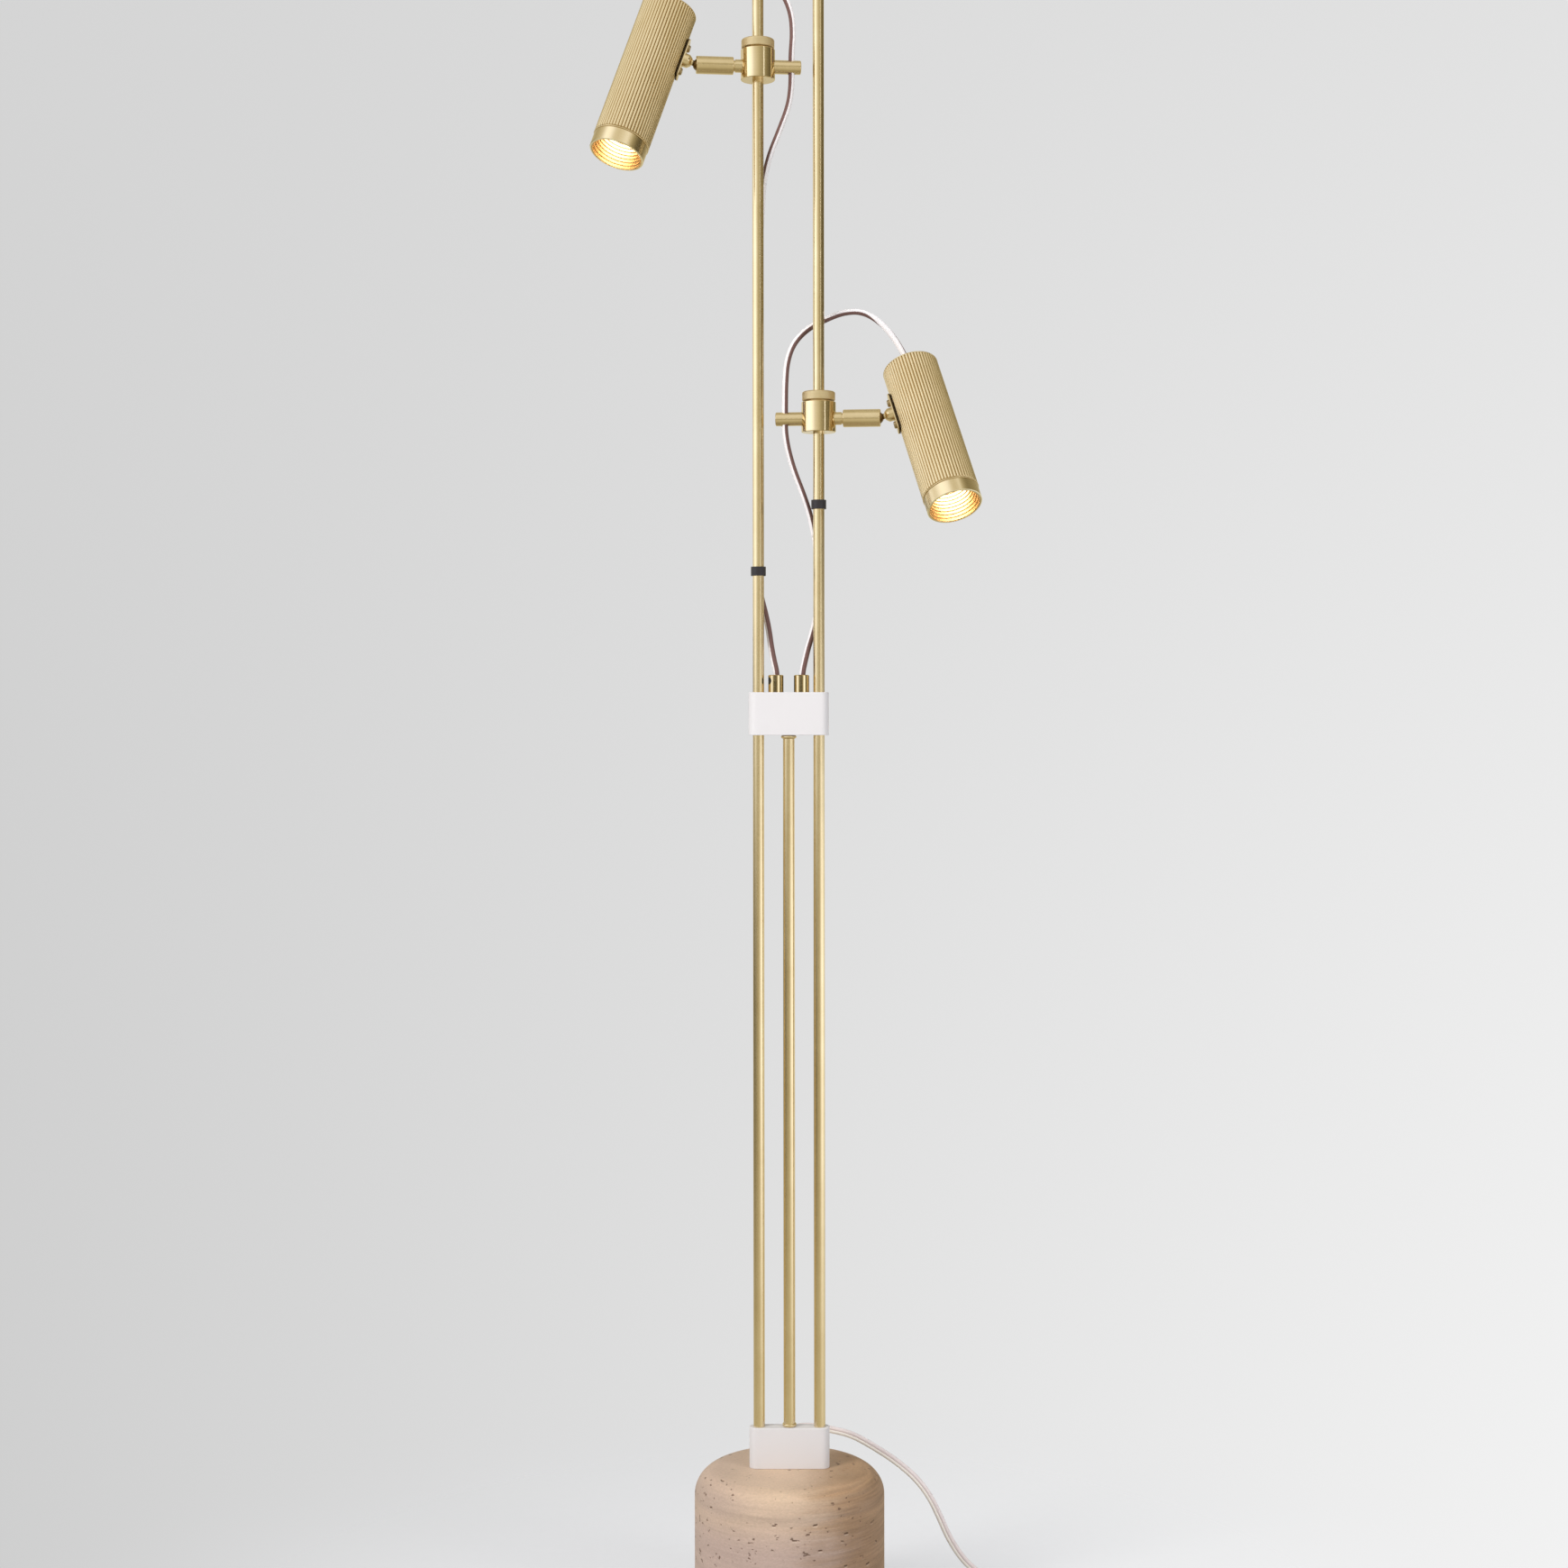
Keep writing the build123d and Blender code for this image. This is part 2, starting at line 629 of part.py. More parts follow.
def ball_stud():
    """The ball on a thin stud, with a tapered hub against the plate."""
    nose = PLATE_FACE - STUD_HUB_LENGTH
    hub = turned(
        (0, nose),
        (STUD_HUB_NOSE_RADIUS, nose),
        (STUD_HUB_RADIUS, nose + STUD_HUB_TAPER),
        (STUD_HUB_RADIUS, PLATE_FACE),
        (0, PLATE_FACE),
    )
    return Sphere(BALL_RADIUS) + lying(STUD_RADIUS, 0, PLATE_FACE) + Rot(0, 90, 0) * hub


def mount_plate():
    corner = min(PLATE_CORNER, PLATE_WIDTH / 2 - FIT)
    outline = Plane.YZ.offset(PLATE_FACE) * RectangleRounded(PLATE_WIDTH, PLATE_LENGTH, corner)
    plate = extrude(outline, PLATE_THICKNESS - FIT)
    for height in plate_screw_heights():
        plate -= lying(SCREW_RADIUS + FIT, PLATE_FACE, PLATE_FACE + PLATE_THICKNESS, height)
    return plate


def head_screws():
    """Two screws through the plate, and the grub screw that holds the front ring."""
    wall_inside = HEAD_OFFSET - HEAD_BORE
    screws = []
    for height in plate_screw_heights():
        head = lying(SCREW_HEAD_RADIUS, PLATE_FACE - SCREW_HEAD_HEIGHT, PLATE_FACE, height)
        head = fillet(head.edges().group_by(Axis.X)[0], SCREW_HEAD_HEIGHT / 2)
        screws.append(head + lying(SCREW_RADIUS, PLATE_FACE, wall_inside + SCREW_PAST_WALL, height))
    height = REEDS_BOTTOM + RING_SCREW_ABOVE
    valley = HEAD_OFFSET - HEAD_RADIUS + REED_DEPTH
    screws.append(lying(SCREW_RADIUS, valley, wall_inside, height))
    return group(screws)


def reeded_outline():
    """A round outline with a convex reed on each step of the circle."""
    valley = HEAD_RADIUS - REED_DEPTH
    step = 360 / REEDS
    reeds = []
    for number in range(REEDS):
        start = Vector(valley, 0).rotate(Axis.Z, number * step)
        crest = Vector(HEAD_RADIUS, 0).rotate(Axis.Z, (number + 0.5) * step)
        end = Vector(valley, 0).rotate(Axis.Z, (number + 1) * step)
        reeds.append(ThreePointArc(start, crest, end))
    return make_face(Wire(reeds))


def head_body():
    tube = Pos(0, 0, REEDS_BOTTOM) * extrude(reeded_outline(), REEDED_LENGTH)
    envelope = upright(HEAD_RADIUS + FIT, REEDS_BOTTOM, REEDS_TOP)
    tube &= chamfer(rim(envelope, 0) + rim(envelope, -1), REED_END)
    tube -= upright(HEAD_BORE, REEDS_BOTTOM, REEDS_TOP)
    for height in [*plate_screw_heights(), REEDS_BOTTOM + RING_SCREW_ABOVE]:
        tube -= lying(SCREW_RADIUS + FIT, -HEAD_RADIUS, 0, height)
    return HEAD_AXIS * tube


def head_cap():
    cap = upright(HEAD_BORE - FIT, REEDS_TOP - CAP_THICKNESS, REEDS_TOP)
    return HEAD_AXIS * (cap - upright(BUSH_RADIUS + FIT, REEDS_TOP - CAP_THICKNESS, REEDS_TOP))


def cord_bush():
    collar_top = REEDS_TOP + BUSH_COLLAR_HEIGHT
    collar = fillet(rim(upright(BUSH_COLLAR_RADIUS, REEDS_TOP, collar_top), -1), BUSH_ROUND)
    bush = collar + upright(BUSH_RADIUS, REEDS_TOP - CAP_THICKNESS, REEDS_TOP)
    return HEAD_AXIS * (bush - upright(BUSH_BORE, REEDS_TOP - CAP_THICKNESS, collar_top))


def front_ring():
    ring = turned(
        (RING_INNER, MOUTH),
        (RING_RADIUS - RING_EDGE, MOUTH),
        (RING_RADIUS, MOUTH + RING_EDGE),
        (RING_RADIUS, REEDS_BOTTOM),
        (SPIGOT_OUTER, REEDS_BOTTOM),
        (SPIGOT_OUTER, REEDS_BOTTOM + RING_SPIGOT_LENGTH),
        (SPIGOT_INNER, REEDS_BOTTOM + RING_SPIGOT_LENGTH),
        (SPIGOT_INNER, RING_SHOULDER),
        (RING_INNER, RING_SHOULDER),
    )
    return HEAD_AXIS * ring


def baffle():
    """Rings that step inwards from the mouth to the lamp, against glare."""
    mouth_radius = RING_INNER - FIT - BAFFLE_MOUTH_WALL
    narrowing = (mouth_radius - BAFFLE_THROAT) / (BAFFLE_STEPS - 1)
    steps = []
    for number in range(BAFFLE_STEPS):
        radius = mouth_radius - number * narrowing
        foot = BAFFLE_BOTTOM + number * BAFFLE_STEP_HEIGHT
        steps += [(radius, foot), (radius, foot + BAFFLE_STEP_HEIGHT)]
    outside = [
        (SPIGOT_INNER - FIT, BAFFLE_TOP),
        (SPIGOT_INNER - FIT, RING_SHOULDER),
        (RING_INNER - FIT, RING_SHOULDER),
        (RING_INNER - FIT, BAFFLE_BOTTOM),
    ]
    return HEAD_AXIS * turned(*steps, *outside)


def lamp_lens():
    return HEAD_AXIS * upright(LENS_RADIUS, BAFFLE_TOP, LENS_TOP)


def lamp_bulb():
    """The lamp's bowl, rounded from the lens to its base."""
    bowl_start = LENS_TOP + LAMP_RIM_HEIGHT
    bulge = (
        (LENS_RADIUS + LAMP_NECK_RADIUS) / 2 + LAMP_BOWL_BULGE,
        0,
        bowl_start + LAMP_BOWL_HEIGHT / 2,
    )
    bowl = ThreePointArc((LENS_RADIUS, 0, bowl_start), bulge, (LAMP_NECK_RADIUS, 0, LAMP_BASE_START))
    inside = Polyline(
        (LAMP_NECK_RADIUS, 0, LAMP_BASE_START),
        (LAMP_BASE_RADIUS, 0, LAMP_BASE_START),
        (LAMP_BASE_RADIUS, 0, LAMP_BASE_END),
        (0, 0, LAMP_BASE_END),
        (0, 0, LENS_TOP),
        (LENS_RADIUS, 0, LENS_TOP),
        (LENS_RADIUS, 0, bowl_start),
    )
    return HEAD_AXIS * revolve(make_face(bowl.edges() + inside.edges()), Axis.Z)


def lamp_holder():
    """Socket barrel on a disc that fills the head's bore."""
    bottom = LAMP_BASE_END - HOLDER_SEAT_LENGTH
    top = LAMP_BASE_END + HOLDER_ABOVE_LAMP
    holder = upright(HOLDER_RADIUS, bottom, top)
    holder += upright(HEAD_BORE - FIT, top - HOLDER_DISC_THICKNESS, top)
    return HEAD_AXIS * (holder - upright(LAMP_BASE_RADIUS + FIT, bottom, LAMP_BASE_END))


def arm_place(side, height):
    """Where an arm stands: +X out along the arm, +Z up, on the rod's axis."""
    yaw = math.radians(ARM_YAW)
    outward = (side * math.cos(yaw), -math.sin(yaw), 0)
    return Plane(origin=(side * ROD_OFFSET, 0, height), x_dir=outward, z_dir=(0, 0, 1)).location


def head_place(side, height, tilt, roll):
    """Where a head stands: +X along the stud, +Z up the head, on the ball's centre."""
    lean, swing = math.radians(tilt), math.radians(roll)
    stud = (math.cos(lean), side * math.sin(lean) * math.sin(swing), math.sin(lean) * math.cos(swing))
    upward = (-math.sin(lean), side * math.cos(lean) * math.sin(swing), math.cos(lean) * math.cos(swing))
    joint = Plane(origin=(BALL_REACH, 0, 0), x_dir=stud, z_dir=upward)
    return arm_place(side, height) * joint.location


def bend_radii(points):
    """Each bend is as wide as the runs beside it allow."""
    radii = []
    for before, corner, after in zip(points, points[1:], points[2:]):
        arriving = Vector(corner) - Vector(before)
        leaving = Vector(after) - Vector(corner)
        half_turn = math.radians(arriving.get_angle(leaving)) / 2
        radii.append(BEND_SHARE * min(arriving.length, leaving.length) / math.tan(half_turn))
    return radii


def cord_tube(name, points, radius):
    """A cord along its route, straight runs joined by tangent bends."""
    radii = bend_radii(points)
    path = FilletPolyline(*points, radius=radii)
    start = Plane(path @ 0, z_dir=path % 0)
    tube = sweep(start * Circle(radius), path=path)
    full = math.pi * radius**2 * path.length
    print(name, "length", round(path.length, 1), "volume share", round(tube.volume / full, 4))
    print("  bend radii", [round(bend) for bend in radii])
    return tube


def strain_relief():
    """Moulded relief behind the lower block, tapering to the lead."""
    body = Cylinder(RELIEF_SPIGOT_RADIUS, RELIEF_SPIGOT_LENGTH, align=(Align.CENTER, Align.CENTER, Align.MAX))
    body += Cylinder(RELIEF_COLLAR_RADIUS, RELIEF_COLLAR_LENGTH, align=UPWARD)
    taper_length = RELIEF_LENGTH - RELIEF_COLLAR_LENGTH
    taper = Cone(RELIEF_ROOT_RADIUS, RELIEF_TIP_RADIUS, taper_length, align=UPWARD)
    body += Pos(0, 0, RELIEF_COLLAR_LENGTH) * taper
    return Pos(0, BLOCK_REAR, RELIEF_HEIGHT) * Rot(-90, 0, 0) * body


# The coil winds clockwise, inwards on the upper layer and outwards again on the lower one

COIL_REVERSAL = 2 * math.pi * COIL_TURNS_A_LAYER
COIL_END = 2 * COIL_REVERSAL
COIL_LOW = COIL_ABOVE_FLOOR + LEAD_RADIUS
COIL_HIGH = COIL_LOW + COIL_PITCH
QUARTER_TURN = math.pi / 2


def coil_point(angle):
    """The lead's middle at an angle wound from the coil's start."""
    past = angle - COIL_REVERSAL
    if abs(past) < QUARTER_TURN:
        turns_out = (past**2 / math.pi + QUARTER_TURN / 2) / (2 * math.pi)
        share = (past + QUARTER_TURN) / math.pi
    else:
        turns_out = abs(past) / (2 * math.pi)
        share = 0 if past < 0 else 1
    radius = COIL_INNER + COIL_PITCH * turns_out
    height = COIL_HIGH - COIL_PITCH * share**2 * (3 - 2 * share)
    return Vector(COIL_X + radius * math.cos(angle), COIL_Y - radius * math.sin(angle), height)


def coil_heading(angle):
    """The way the lead runs there."""
    small = 1e-4
    start, end = max(angle - small, 0), min(angle + small, COIL_END)
    return (coil_point(end) - coil_point(start)).normalized()


def biarc(start, start_heading, end, end_heading):
    """Two arcs that join two points with given headings."""
    span = end - start
    bend = 2 * (1 - start_heading.dot(end_heading))
    reach = 2 * span.dot(start_heading + end_heading)
    arm = (math.sqrt(reach**2 + 4 * bend * span.dot(span)) - reach) / (2 * bend)
    first_corner = start + start_heading * arm
    second_corner = end - end_heading * arm
    middle = (first_corner + second_corner) * 0.5
    along = (second_corner - first_corner).normalized()
    return [TangentArc(start, middle, tangent=start_heading), TangentArc(middle, end, tangent=along)]


def least_coil_gap():
    """The smallest gap between two turns of the coil, on points along it."""
    count = int(COIL_END / math.radians(5))
    points = [tuple(coil_point(COIL_END * number / count)) for number in range(count + 1)]
    apart = int(count * math.pi / COIL_END)
    nearest = min(
        math.dist(points[first], points[second])
        for first in range(len(points))
        for second in range(first + apart, len(points))
    )
    return nearest - 2 * LEAD_RADIUS


PLUG_MIDDLE = PLUG_ABOVE_FLOOR + PLUG_THICKNESS / 2


def plug_rear():
    """Where the lead enters the plug's sleeve."""
    end = coil_point(COIL_END)
    return Vector(end.X, end.Y - PLUG_FROM_COIL, PLUG_MIDDLE)


def mains_coil():
    """The put-away length of the lead as one tube, and its end up to the plug."""
    steps = round(COIL_TURNS_A_LAYER * 2 * BIARCS_A_TURN)
    angles = [COIL_END * number / steps for number in range(steps + 1)]
    lead_in = 2 * LEAD_RADIUS
    forward = Vector(0, -1, 0)
    headings = [forward, *[coil_heading(angle) for angle in angles[1:]]]
    turns = [(coil_point(angle), heading) for angle, heading in zip(angles, headings)]
    near_plug = plug_rear() - forward * lead_in
    turns.append((near_plug, forward))
    edges = [Line(coil_point(0) - forward * lead_in, coil_point(0))]
    for before, after in zip(turns, turns[1:]):
        edges += biarc(*before, *after)
    edges.append(Line(near_plug, plug_rear()))
    path = Wire([edge for line in edges for edge in line.edges()])
    tube = sweep(Plane(path @ 0, z_dir=path % 0) * Circle(LEAD_RADIUS), path=path)
    full = math.pi * LEAD_RADIUS**2 * path.length
    print("mains_coil length", round(path.length, 1), "volume share", round(tube.volume / full, 4))
    print("  least gap between turns", round(least_coil_gap(), 2))
    return tube


def coil_tie():
    """A strap round all the turns, on the coil's far side."""
    near = COIL_INNER - LEAD_RADIUS - TIE_GAP
    far = COIL_INNER + COIL_PITCH * COIL_TURNS_A_LAYER + LEAD_RADIUS + TIE_GAP
    low = COIL_ABOVE_FLOOR - TIE_GAP
    high = COIL_HIGH + LEAD_RADIUS + TIE_GAP
    middle = Plane.YZ.offset(COIL_X - TIE_WIDTH / 2) * Pos(COIL_Y + (near + far) / 2, (low + high) / 2)
    inside = RectangleRounded(far - near, high - low, TIE_CORNER)
    outside = RectangleRounded(
        far - near + 2 * TIE_THICKNESS, high - low + 2 * TIE_THICKNESS, TIE_CORNER + TIE_THICKNESS
    )
    return extrude(middle * (outside - inside), TIE_WIDTH)


def plug_place():
    """+Z runs along the plug from its rear towards its pins, and +Y is up."""
    return Plane(origin=plug_rear(), x_dir=(-1, 0, 0), z_dir=(0, -1, 0)).location


def plug_body():
    """A flat two-pin plug with a tapered sleeve for the lead."""
    nose = PLUG_SLEEVE_LENGTH + PLUG_LENGTH
    round_off = min(PLUG_ROUND, PLUG_THICKNESS / 2 - FIT)
    outline = RectangleRounded(PLUG_WIDTH, PLUG_THICKNESS, round_off)
    shell = Pos(0, 0, PLUG_SLEEVE_LENGTH) * extrude(outline, PLUG_LENGTH)
    shell = fillet(rim(shell, 0), round_off / 2)
    shell += Cone(LEAD_RADIUS + FIT, PLUG_SLEEVE_RADIUS, PLUG_SLEEVE_LENGTH, align=UPWARD)
    for side in (LEFT, RIGHT):
        shell -= upright(PIN_RADIUS + FIT, nose - PIN_SEAT, nose, side * PIN_SPACING / 2)
    return plug_place() * shell


def plug_pins():
    nose = PLUG_SLEEVE_LENGTH + PLUG_LENGTH
    pins = []
    for side in (LEFT, RIGHT):
        pin = upright(PIN_RADIUS, nose - PIN_SEAT, nose + PIN_LENGTH, side * PIN_SPACING / 2)
        pins.append(fillet(rim(pin, -1), PIN_RADIUS / 2))
    return group([plug_place() * pin for pin in pins])


def spot_pieces(name, side, height, tilt, roll):
    """All pieces of one spot, standing where the lamp carries them."""
    arm = arm_place(side, height)
    head = head_place(side, height, tilt, roll)
    on_arm = [collet, clamp_body, clamp_nut, tail_stub, arm_neck, arm_sleeve]
    on_head = [ball_stud, mount_plate, head_screws, head_body, head_cap, cord_bush]
    on_head += [front_ring, baffle, lamp_lens, lamp_bulb, lamp_holder]
    pieces = {f"{name}_{make.__name__}": arm * make() for make in on_arm}
    pieces.update({f"{name}_{make.__name__}": head * make() for make in on_head})
    return pieces


def stand_pieces():
    pieces = {
        make.__name__: make()
        for make in [
            base_pad,
            travertine_foot,
            base_bolts,
            lower_block,
            middle_block,
            top_block,
            conduit,
            ferrules,
            grub_screws,
            cord_glands,
            cord_bands,
        ]
    }
    pieces["left_rod"] = rod(LEFT)
    pieces["right_rod"] = rod(RIGHT)
    return pieces


def cord_pieces():
    pieces = {
        "upper_cord_run": cord_tube("upper_cord_run", UPPER_RUN_ROUTE, CORD_RADIUS),
        "upper_cord_slack": cord_tube("upper_cord_slack", UPPER_SLACK_ROUTE, CORD_RADIUS),
        "upper_cord_loop": cord_tube("upper_cord_loop", UPPER_LOOP_ROUTE, CORD_RADIUS),
        "lower_cord_slack": cord_tube("lower_cord_slack", LOWER_SLACK_ROUTE, CORD_RADIUS),
        "lower_cord_loop": cord_tube("lower_cord_loop", LOWER_LOOP_ROUTE, CORD_RADIUS),
        "mains_cord": cord_tube("mains_cord", LEAD_ROUTE, LEAD_RADIUS),
    }
    for make in [strain_relief, mains_coil, coil_tie, plug_body, plug_pins]:
        pieces[make.__name__] = make()
    return pieces


def main():
    os.makedirs("parts", exist_ok=True)
    pieces = stand_pieces()
    pieces.update(spot_pieces("upper", LEFT, UPPER_ARM_HEIGHT, UPPER_TILT, UPPER_ROLL))
    pieces.update(spot_pieces("lower", RIGHT, LOWER_ARM_HEIGHT, LOWER_TILT, LOWER_ROLL))
    pieces.update(cord_pieces())
    for name, piece in pieces.items():
        export_step(piece, f"parts/{name}.step")
    print(len(pieces), "nodes")


main()
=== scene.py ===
import json
import math
import random
from bisect import bisect

import bmesh
import bpy
from mathutils import Matrix, Vector


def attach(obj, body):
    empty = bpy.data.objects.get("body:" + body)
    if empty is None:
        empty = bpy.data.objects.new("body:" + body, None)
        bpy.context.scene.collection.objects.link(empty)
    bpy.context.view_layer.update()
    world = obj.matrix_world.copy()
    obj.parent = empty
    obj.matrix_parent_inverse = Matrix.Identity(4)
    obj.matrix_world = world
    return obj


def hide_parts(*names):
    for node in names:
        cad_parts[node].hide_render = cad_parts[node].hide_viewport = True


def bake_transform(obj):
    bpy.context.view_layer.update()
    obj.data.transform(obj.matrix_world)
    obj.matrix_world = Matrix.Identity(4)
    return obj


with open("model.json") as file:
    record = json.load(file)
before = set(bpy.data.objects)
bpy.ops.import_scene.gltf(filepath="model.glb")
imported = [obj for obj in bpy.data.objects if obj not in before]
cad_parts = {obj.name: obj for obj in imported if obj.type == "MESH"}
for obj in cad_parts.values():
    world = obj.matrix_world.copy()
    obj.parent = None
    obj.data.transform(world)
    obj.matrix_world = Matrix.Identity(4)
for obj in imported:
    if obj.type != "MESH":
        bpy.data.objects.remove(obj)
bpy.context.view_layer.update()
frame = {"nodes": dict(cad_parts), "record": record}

scene = bpy.context.scene
MM = 0.001

# The photograph's camera: level, at the middle of the stand, with its optical axis above the frame's middle
PHOTO_SIDE = 1740
OPTICAL_ROW = 790
FOCAL_PIXELS = 2727
CAMERA_PLACE = (-0.0042, -2.180, 0.8096)
CAMERA_ROLL = 0.06
SENSOR = 36.0


def put(name, data):
    """A new object in the scene."""
    piece = bpy.data.objects.new(name, data)
    scene.collection.objects.link(piece)
    return piece


def make_camera():
    data = bpy.data.cameras.new("camera")
    data.sensor_width = SENSOR
    data.lens = SENSOR * FOCAL_PIXELS / PHOTO_SIDE
    data.shift_y = (OPTICAL_ROW - PHOTO_SIDE / 2) / PHOTO_SIDE
    camera = put("camera", data)
    camera.location = CAMERA_PLACE
    camera.rotation_euler = (math.pi / 2, math.radians(CAMERA_ROLL), 0)
    scene.camera = camera


make_camera()


# Where the two spots are: side of their rod, height, tilt on the ball and roll of the arm

ROD_X = 0.0268
ARM_YAW = 6.5
BALL_REACH = 0.0525
HEAD_OFFSET = 0.041


class Spot:
    """A spot's ball, where its stud points, its head's upward direction and a point on the head's axis."""

    def __init__(self, side, height, tilt, roll):
        yaw, tilt, roll = math.radians(ARM_YAW), math.radians(tilt), math.radians(roll)
        arm = Vector((side * math.cos(yaw), -math.sin(yaw), 0))
        front = Vector((-side * math.sin(yaw), -math.cos(yaw), 0))
        hanging = front * math.sin(roll) - Vector((0, 0, math.cos(roll)))
        self.rod_x = side * ROD_X
        self.ball = Vector((self.rod_x, 0, height)) + arm * BALL_REACH
        self.stud = arm * math.cos(tilt) - hanging * math.sin(tilt)
        self.up = -(hanging * math.cos(tilt) + arm * math.sin(tilt))
        self.axis = self.ball + self.stud * HEAD_OFFSET


SPOTS = {"upper": Spot(-1, 1.382, 18.8, 16.0), "lower": Spot(1, 1.0696, 16.3, 28.0)}


# Shader nodes

class Nodes:
    """Short ways to add nodes to a shader tree."""

    def __init__(self, tree):
        self.tree = tree

    def feed(self, socket, value):
        if isinstance(value, bpy.types.NodeSocket):
            self.tree.links.new(value, socket)
        else:
            socket.default_value = value

    def node(self, kind, inputs=None, **settings):
        made = self.tree.nodes.new("ShaderNode" + kind)
        for key, value in settings.items():
            setattr(made, key, value)
        for key, value in (inputs or {}).items():
            self.feed(made.inputs[key], value)
        return made

    def place(self, scale=(1, 1, 1)):
        """Coordinates in metres, stretched."""
        space = self.node("TexCoord").outputs["Object"]
        return self.node("Mapping", {"Vector": space, "Scale": scale}).outputs["Vector"]

    def noise(self, vector, scale, detail=3.0, roughness=0.55):
        inputs = {"Vector": vector, "Scale": scale, "Detail": detail, "Roughness": roughness}
        return self.node("TexNoise", inputs).outputs["Fac"]

    def ramp(self, factor, *stops):
        """Colours or greys at stops along a factor."""
        made = self.node("ValToRGB", {"Fac": factor})
        elements = made.color_ramp.elements
        while len(elements) < len(stops):
            elements.new(1.0)
        for element, (position, colour) in zip(elements, stops):
            grey = isinstance(colour, (int, float))
            element.position = position
            element.color = (colour, colour, colour, 1) if grey else (*colour, 1)
        return made.outputs["Color"]

    def between(self, value, low, high, start=0.25, end=0.75):
        """A grey that goes from low to high as a value goes from start to end."""
        return self.ramp(value, (start, low), (end, high))

    def span(self, value, start, end):
        """A smooth step from 0 at the start to 1 at the end."""
        inputs = {"Value": value, "From Min": start, "From Max": end}
        return self.node("MapRange", inputs, interpolation_type="SMOOTHSTEP").outputs["Result"]

    def mix(self, factor, first, second, blend="MIX"):
        made = self.node("Mix", data_type="RGBA", blend_type=blend)
        self.feed(made.inputs[0], factor)
        for number, colour in ((6, first), (7, second)):
            linked = isinstance(colour, bpy.types.NodeSocket)
            self.feed(made.inputs[number], colour if linked else (*colour, 1))
        return made.outputs[2]

    def math(self, operation, first, second=0.0):
        made = self.node("Math", operation=operation)
        self.feed(made.inputs[0], first)
        self.feed(made.inputs[1], second)
        return made.outputs[0]

    def times(self, first, second):
        return self.math("MULTIPLY", first, second)

    def rest(self, share):
        """What a share leaves of one."""
        return self.math("SUBTRACT", 1.0, share)

    def sway(self, value, amount):
        """A noise's swing about its middle, times an amount."""
        return self.times(self.math("SUBTRACT", value, 0.5), amount)

    def vector(self, operation, first, second, output="Vector"):
        return self.node("VectorMath", {0: first, 1: second}, operation=operation).outputs[output]

    def parts(self, vector):
        return self.node("SeparateXYZ", {"Vector": vector}).outputs

    def reach(self, origin):
        """The way to a point from an origin, in metres."""
        return self.vector("SUBTRACT", self.place(), origin)

    def along(self, reach, way):
        """How far a point lies along a direction."""
        return self.vector("DOT_PRODUCT", reach, way, "Value")

    def aside(self, reach, way):
        """How far a point lies to the side of a direction."""
        foot = self.node("VectorMath", {0: way, "Scale": self.along(reach, way)}, operation="SCALE")
        return self.vector("DISTANCE", reach, foot.outputs["Vector"], "Value")

    def bump(self, height, distance, strength=1.0):
        inputs = {"Height": height, "Distance": distance, "Strength": strength}
        return self.node("Bump", inputs).outputs["Normal"]


class Finish(Nodes):
    """A material with one Principled shader and the nodes that feed it."""

    def __init__(self, name, **sockets):
        self.material = bpy.data.materials.new(name)
        self.material.use_nodes = True
        super().__init__(self.material.node_tree)
        self.shader = self.tree.nodes["Principled BSDF"]
        self.set(**sockets)

    def set(self, **sockets):
        for socket, value in sockets.items():
            self.feed(self.shader.inputs[socket.replace("_", " ")], value)
        return self.material


# Metals

BRASS_LIGHT = (0.86, 0.71, 0.46)
BRASS_DEEP = (0.80, 0.645, 0.395)
BRASS_CLOUDS = 30.0
BRASS_LINE_SHADE = 0.07
# Painted shade: the brown laid in the reeds' grooves and in the line under the front ring's bead
PAINTED_SHADE_BROWN = (0.50, 0.335, 0.15)
BLACKED = (0.012, 0.011, 0.010)

# How fast brush lines change along each axis, per metre
ALONG_Z = (900, 900, 6)
ROUND_Z = (12, 12, 1600)
EVEN = (260, 260, 260)
SLOW = (60, 60, 60)


def brush_lines(finish, grain, detail=3.0):
    return finish.noise(finish.place(grain), 1.0, detail)


def brass_tone(finish, lines):
    """Slow clouds between two brass tones, with faint lines."""
    clouds = finish.noise(finish.place(), BRASS_CLOUDS, 2.0)
    tone = finish.mix(finish.between(clouds, 0.0, 1.0, 0.3, 0.7), BRASS_DEEP, BRASS_LIGHT)
    return finish.mix(BRASS_LINE_SHADE, tone, finish.between(lines, 0.4, 1.0, 0.3, 0.7), "MULTIPLY")


def brass(name, grain, low, high):
    """Brass with faint brush lines, from its lowest to its highest roughness: its finish and its tone."""
    finish = Finish(name, Metallic=1.0)
    lines = brush_lines(finish, grain)
    finish.set(Roughness=finish.between(lines, low, high))
    return finish, brass_tone(finish, lines)


def satin_brass(name, grain, roughness):
    finish, tone = brass(name, grain, roughness - 0.02, roughness + 0.03)
    return finish.set(Base_Color=tone)


KNURLS = 96
KNURL_DEPTH = 0.0001
KNURL_STRENGTH = 0.3


def knurled_brass(name, spot):
    """The nut's matt side, with fine upright knurls round its rod."""
    finish = Finish(name, Metallic=1.0, Roughness=0.5)
    apart = finish.parts(finish.place())
    angle = finish.math("ARCTAN2", apart["Y"], finish.math("SUBTRACT", apart["X"], spot.rod_x))
    knurl = finish.math("SINE", finish.times(angle, KNURLS))
    tone = brass_tone(finish, brush_lines(finish, ROUND_Z))
    return finish.set(Base_Color=tone, Normal=finish.bump(knurl, KNURL_DEPTH, KNURL_STRENGTH))


# Where the painted shade in the reeds' grooves ends, and how much of it shows
GROOVE_RADII = (0.0242, 0.0248)
GROOVE_SHARE = 0.92


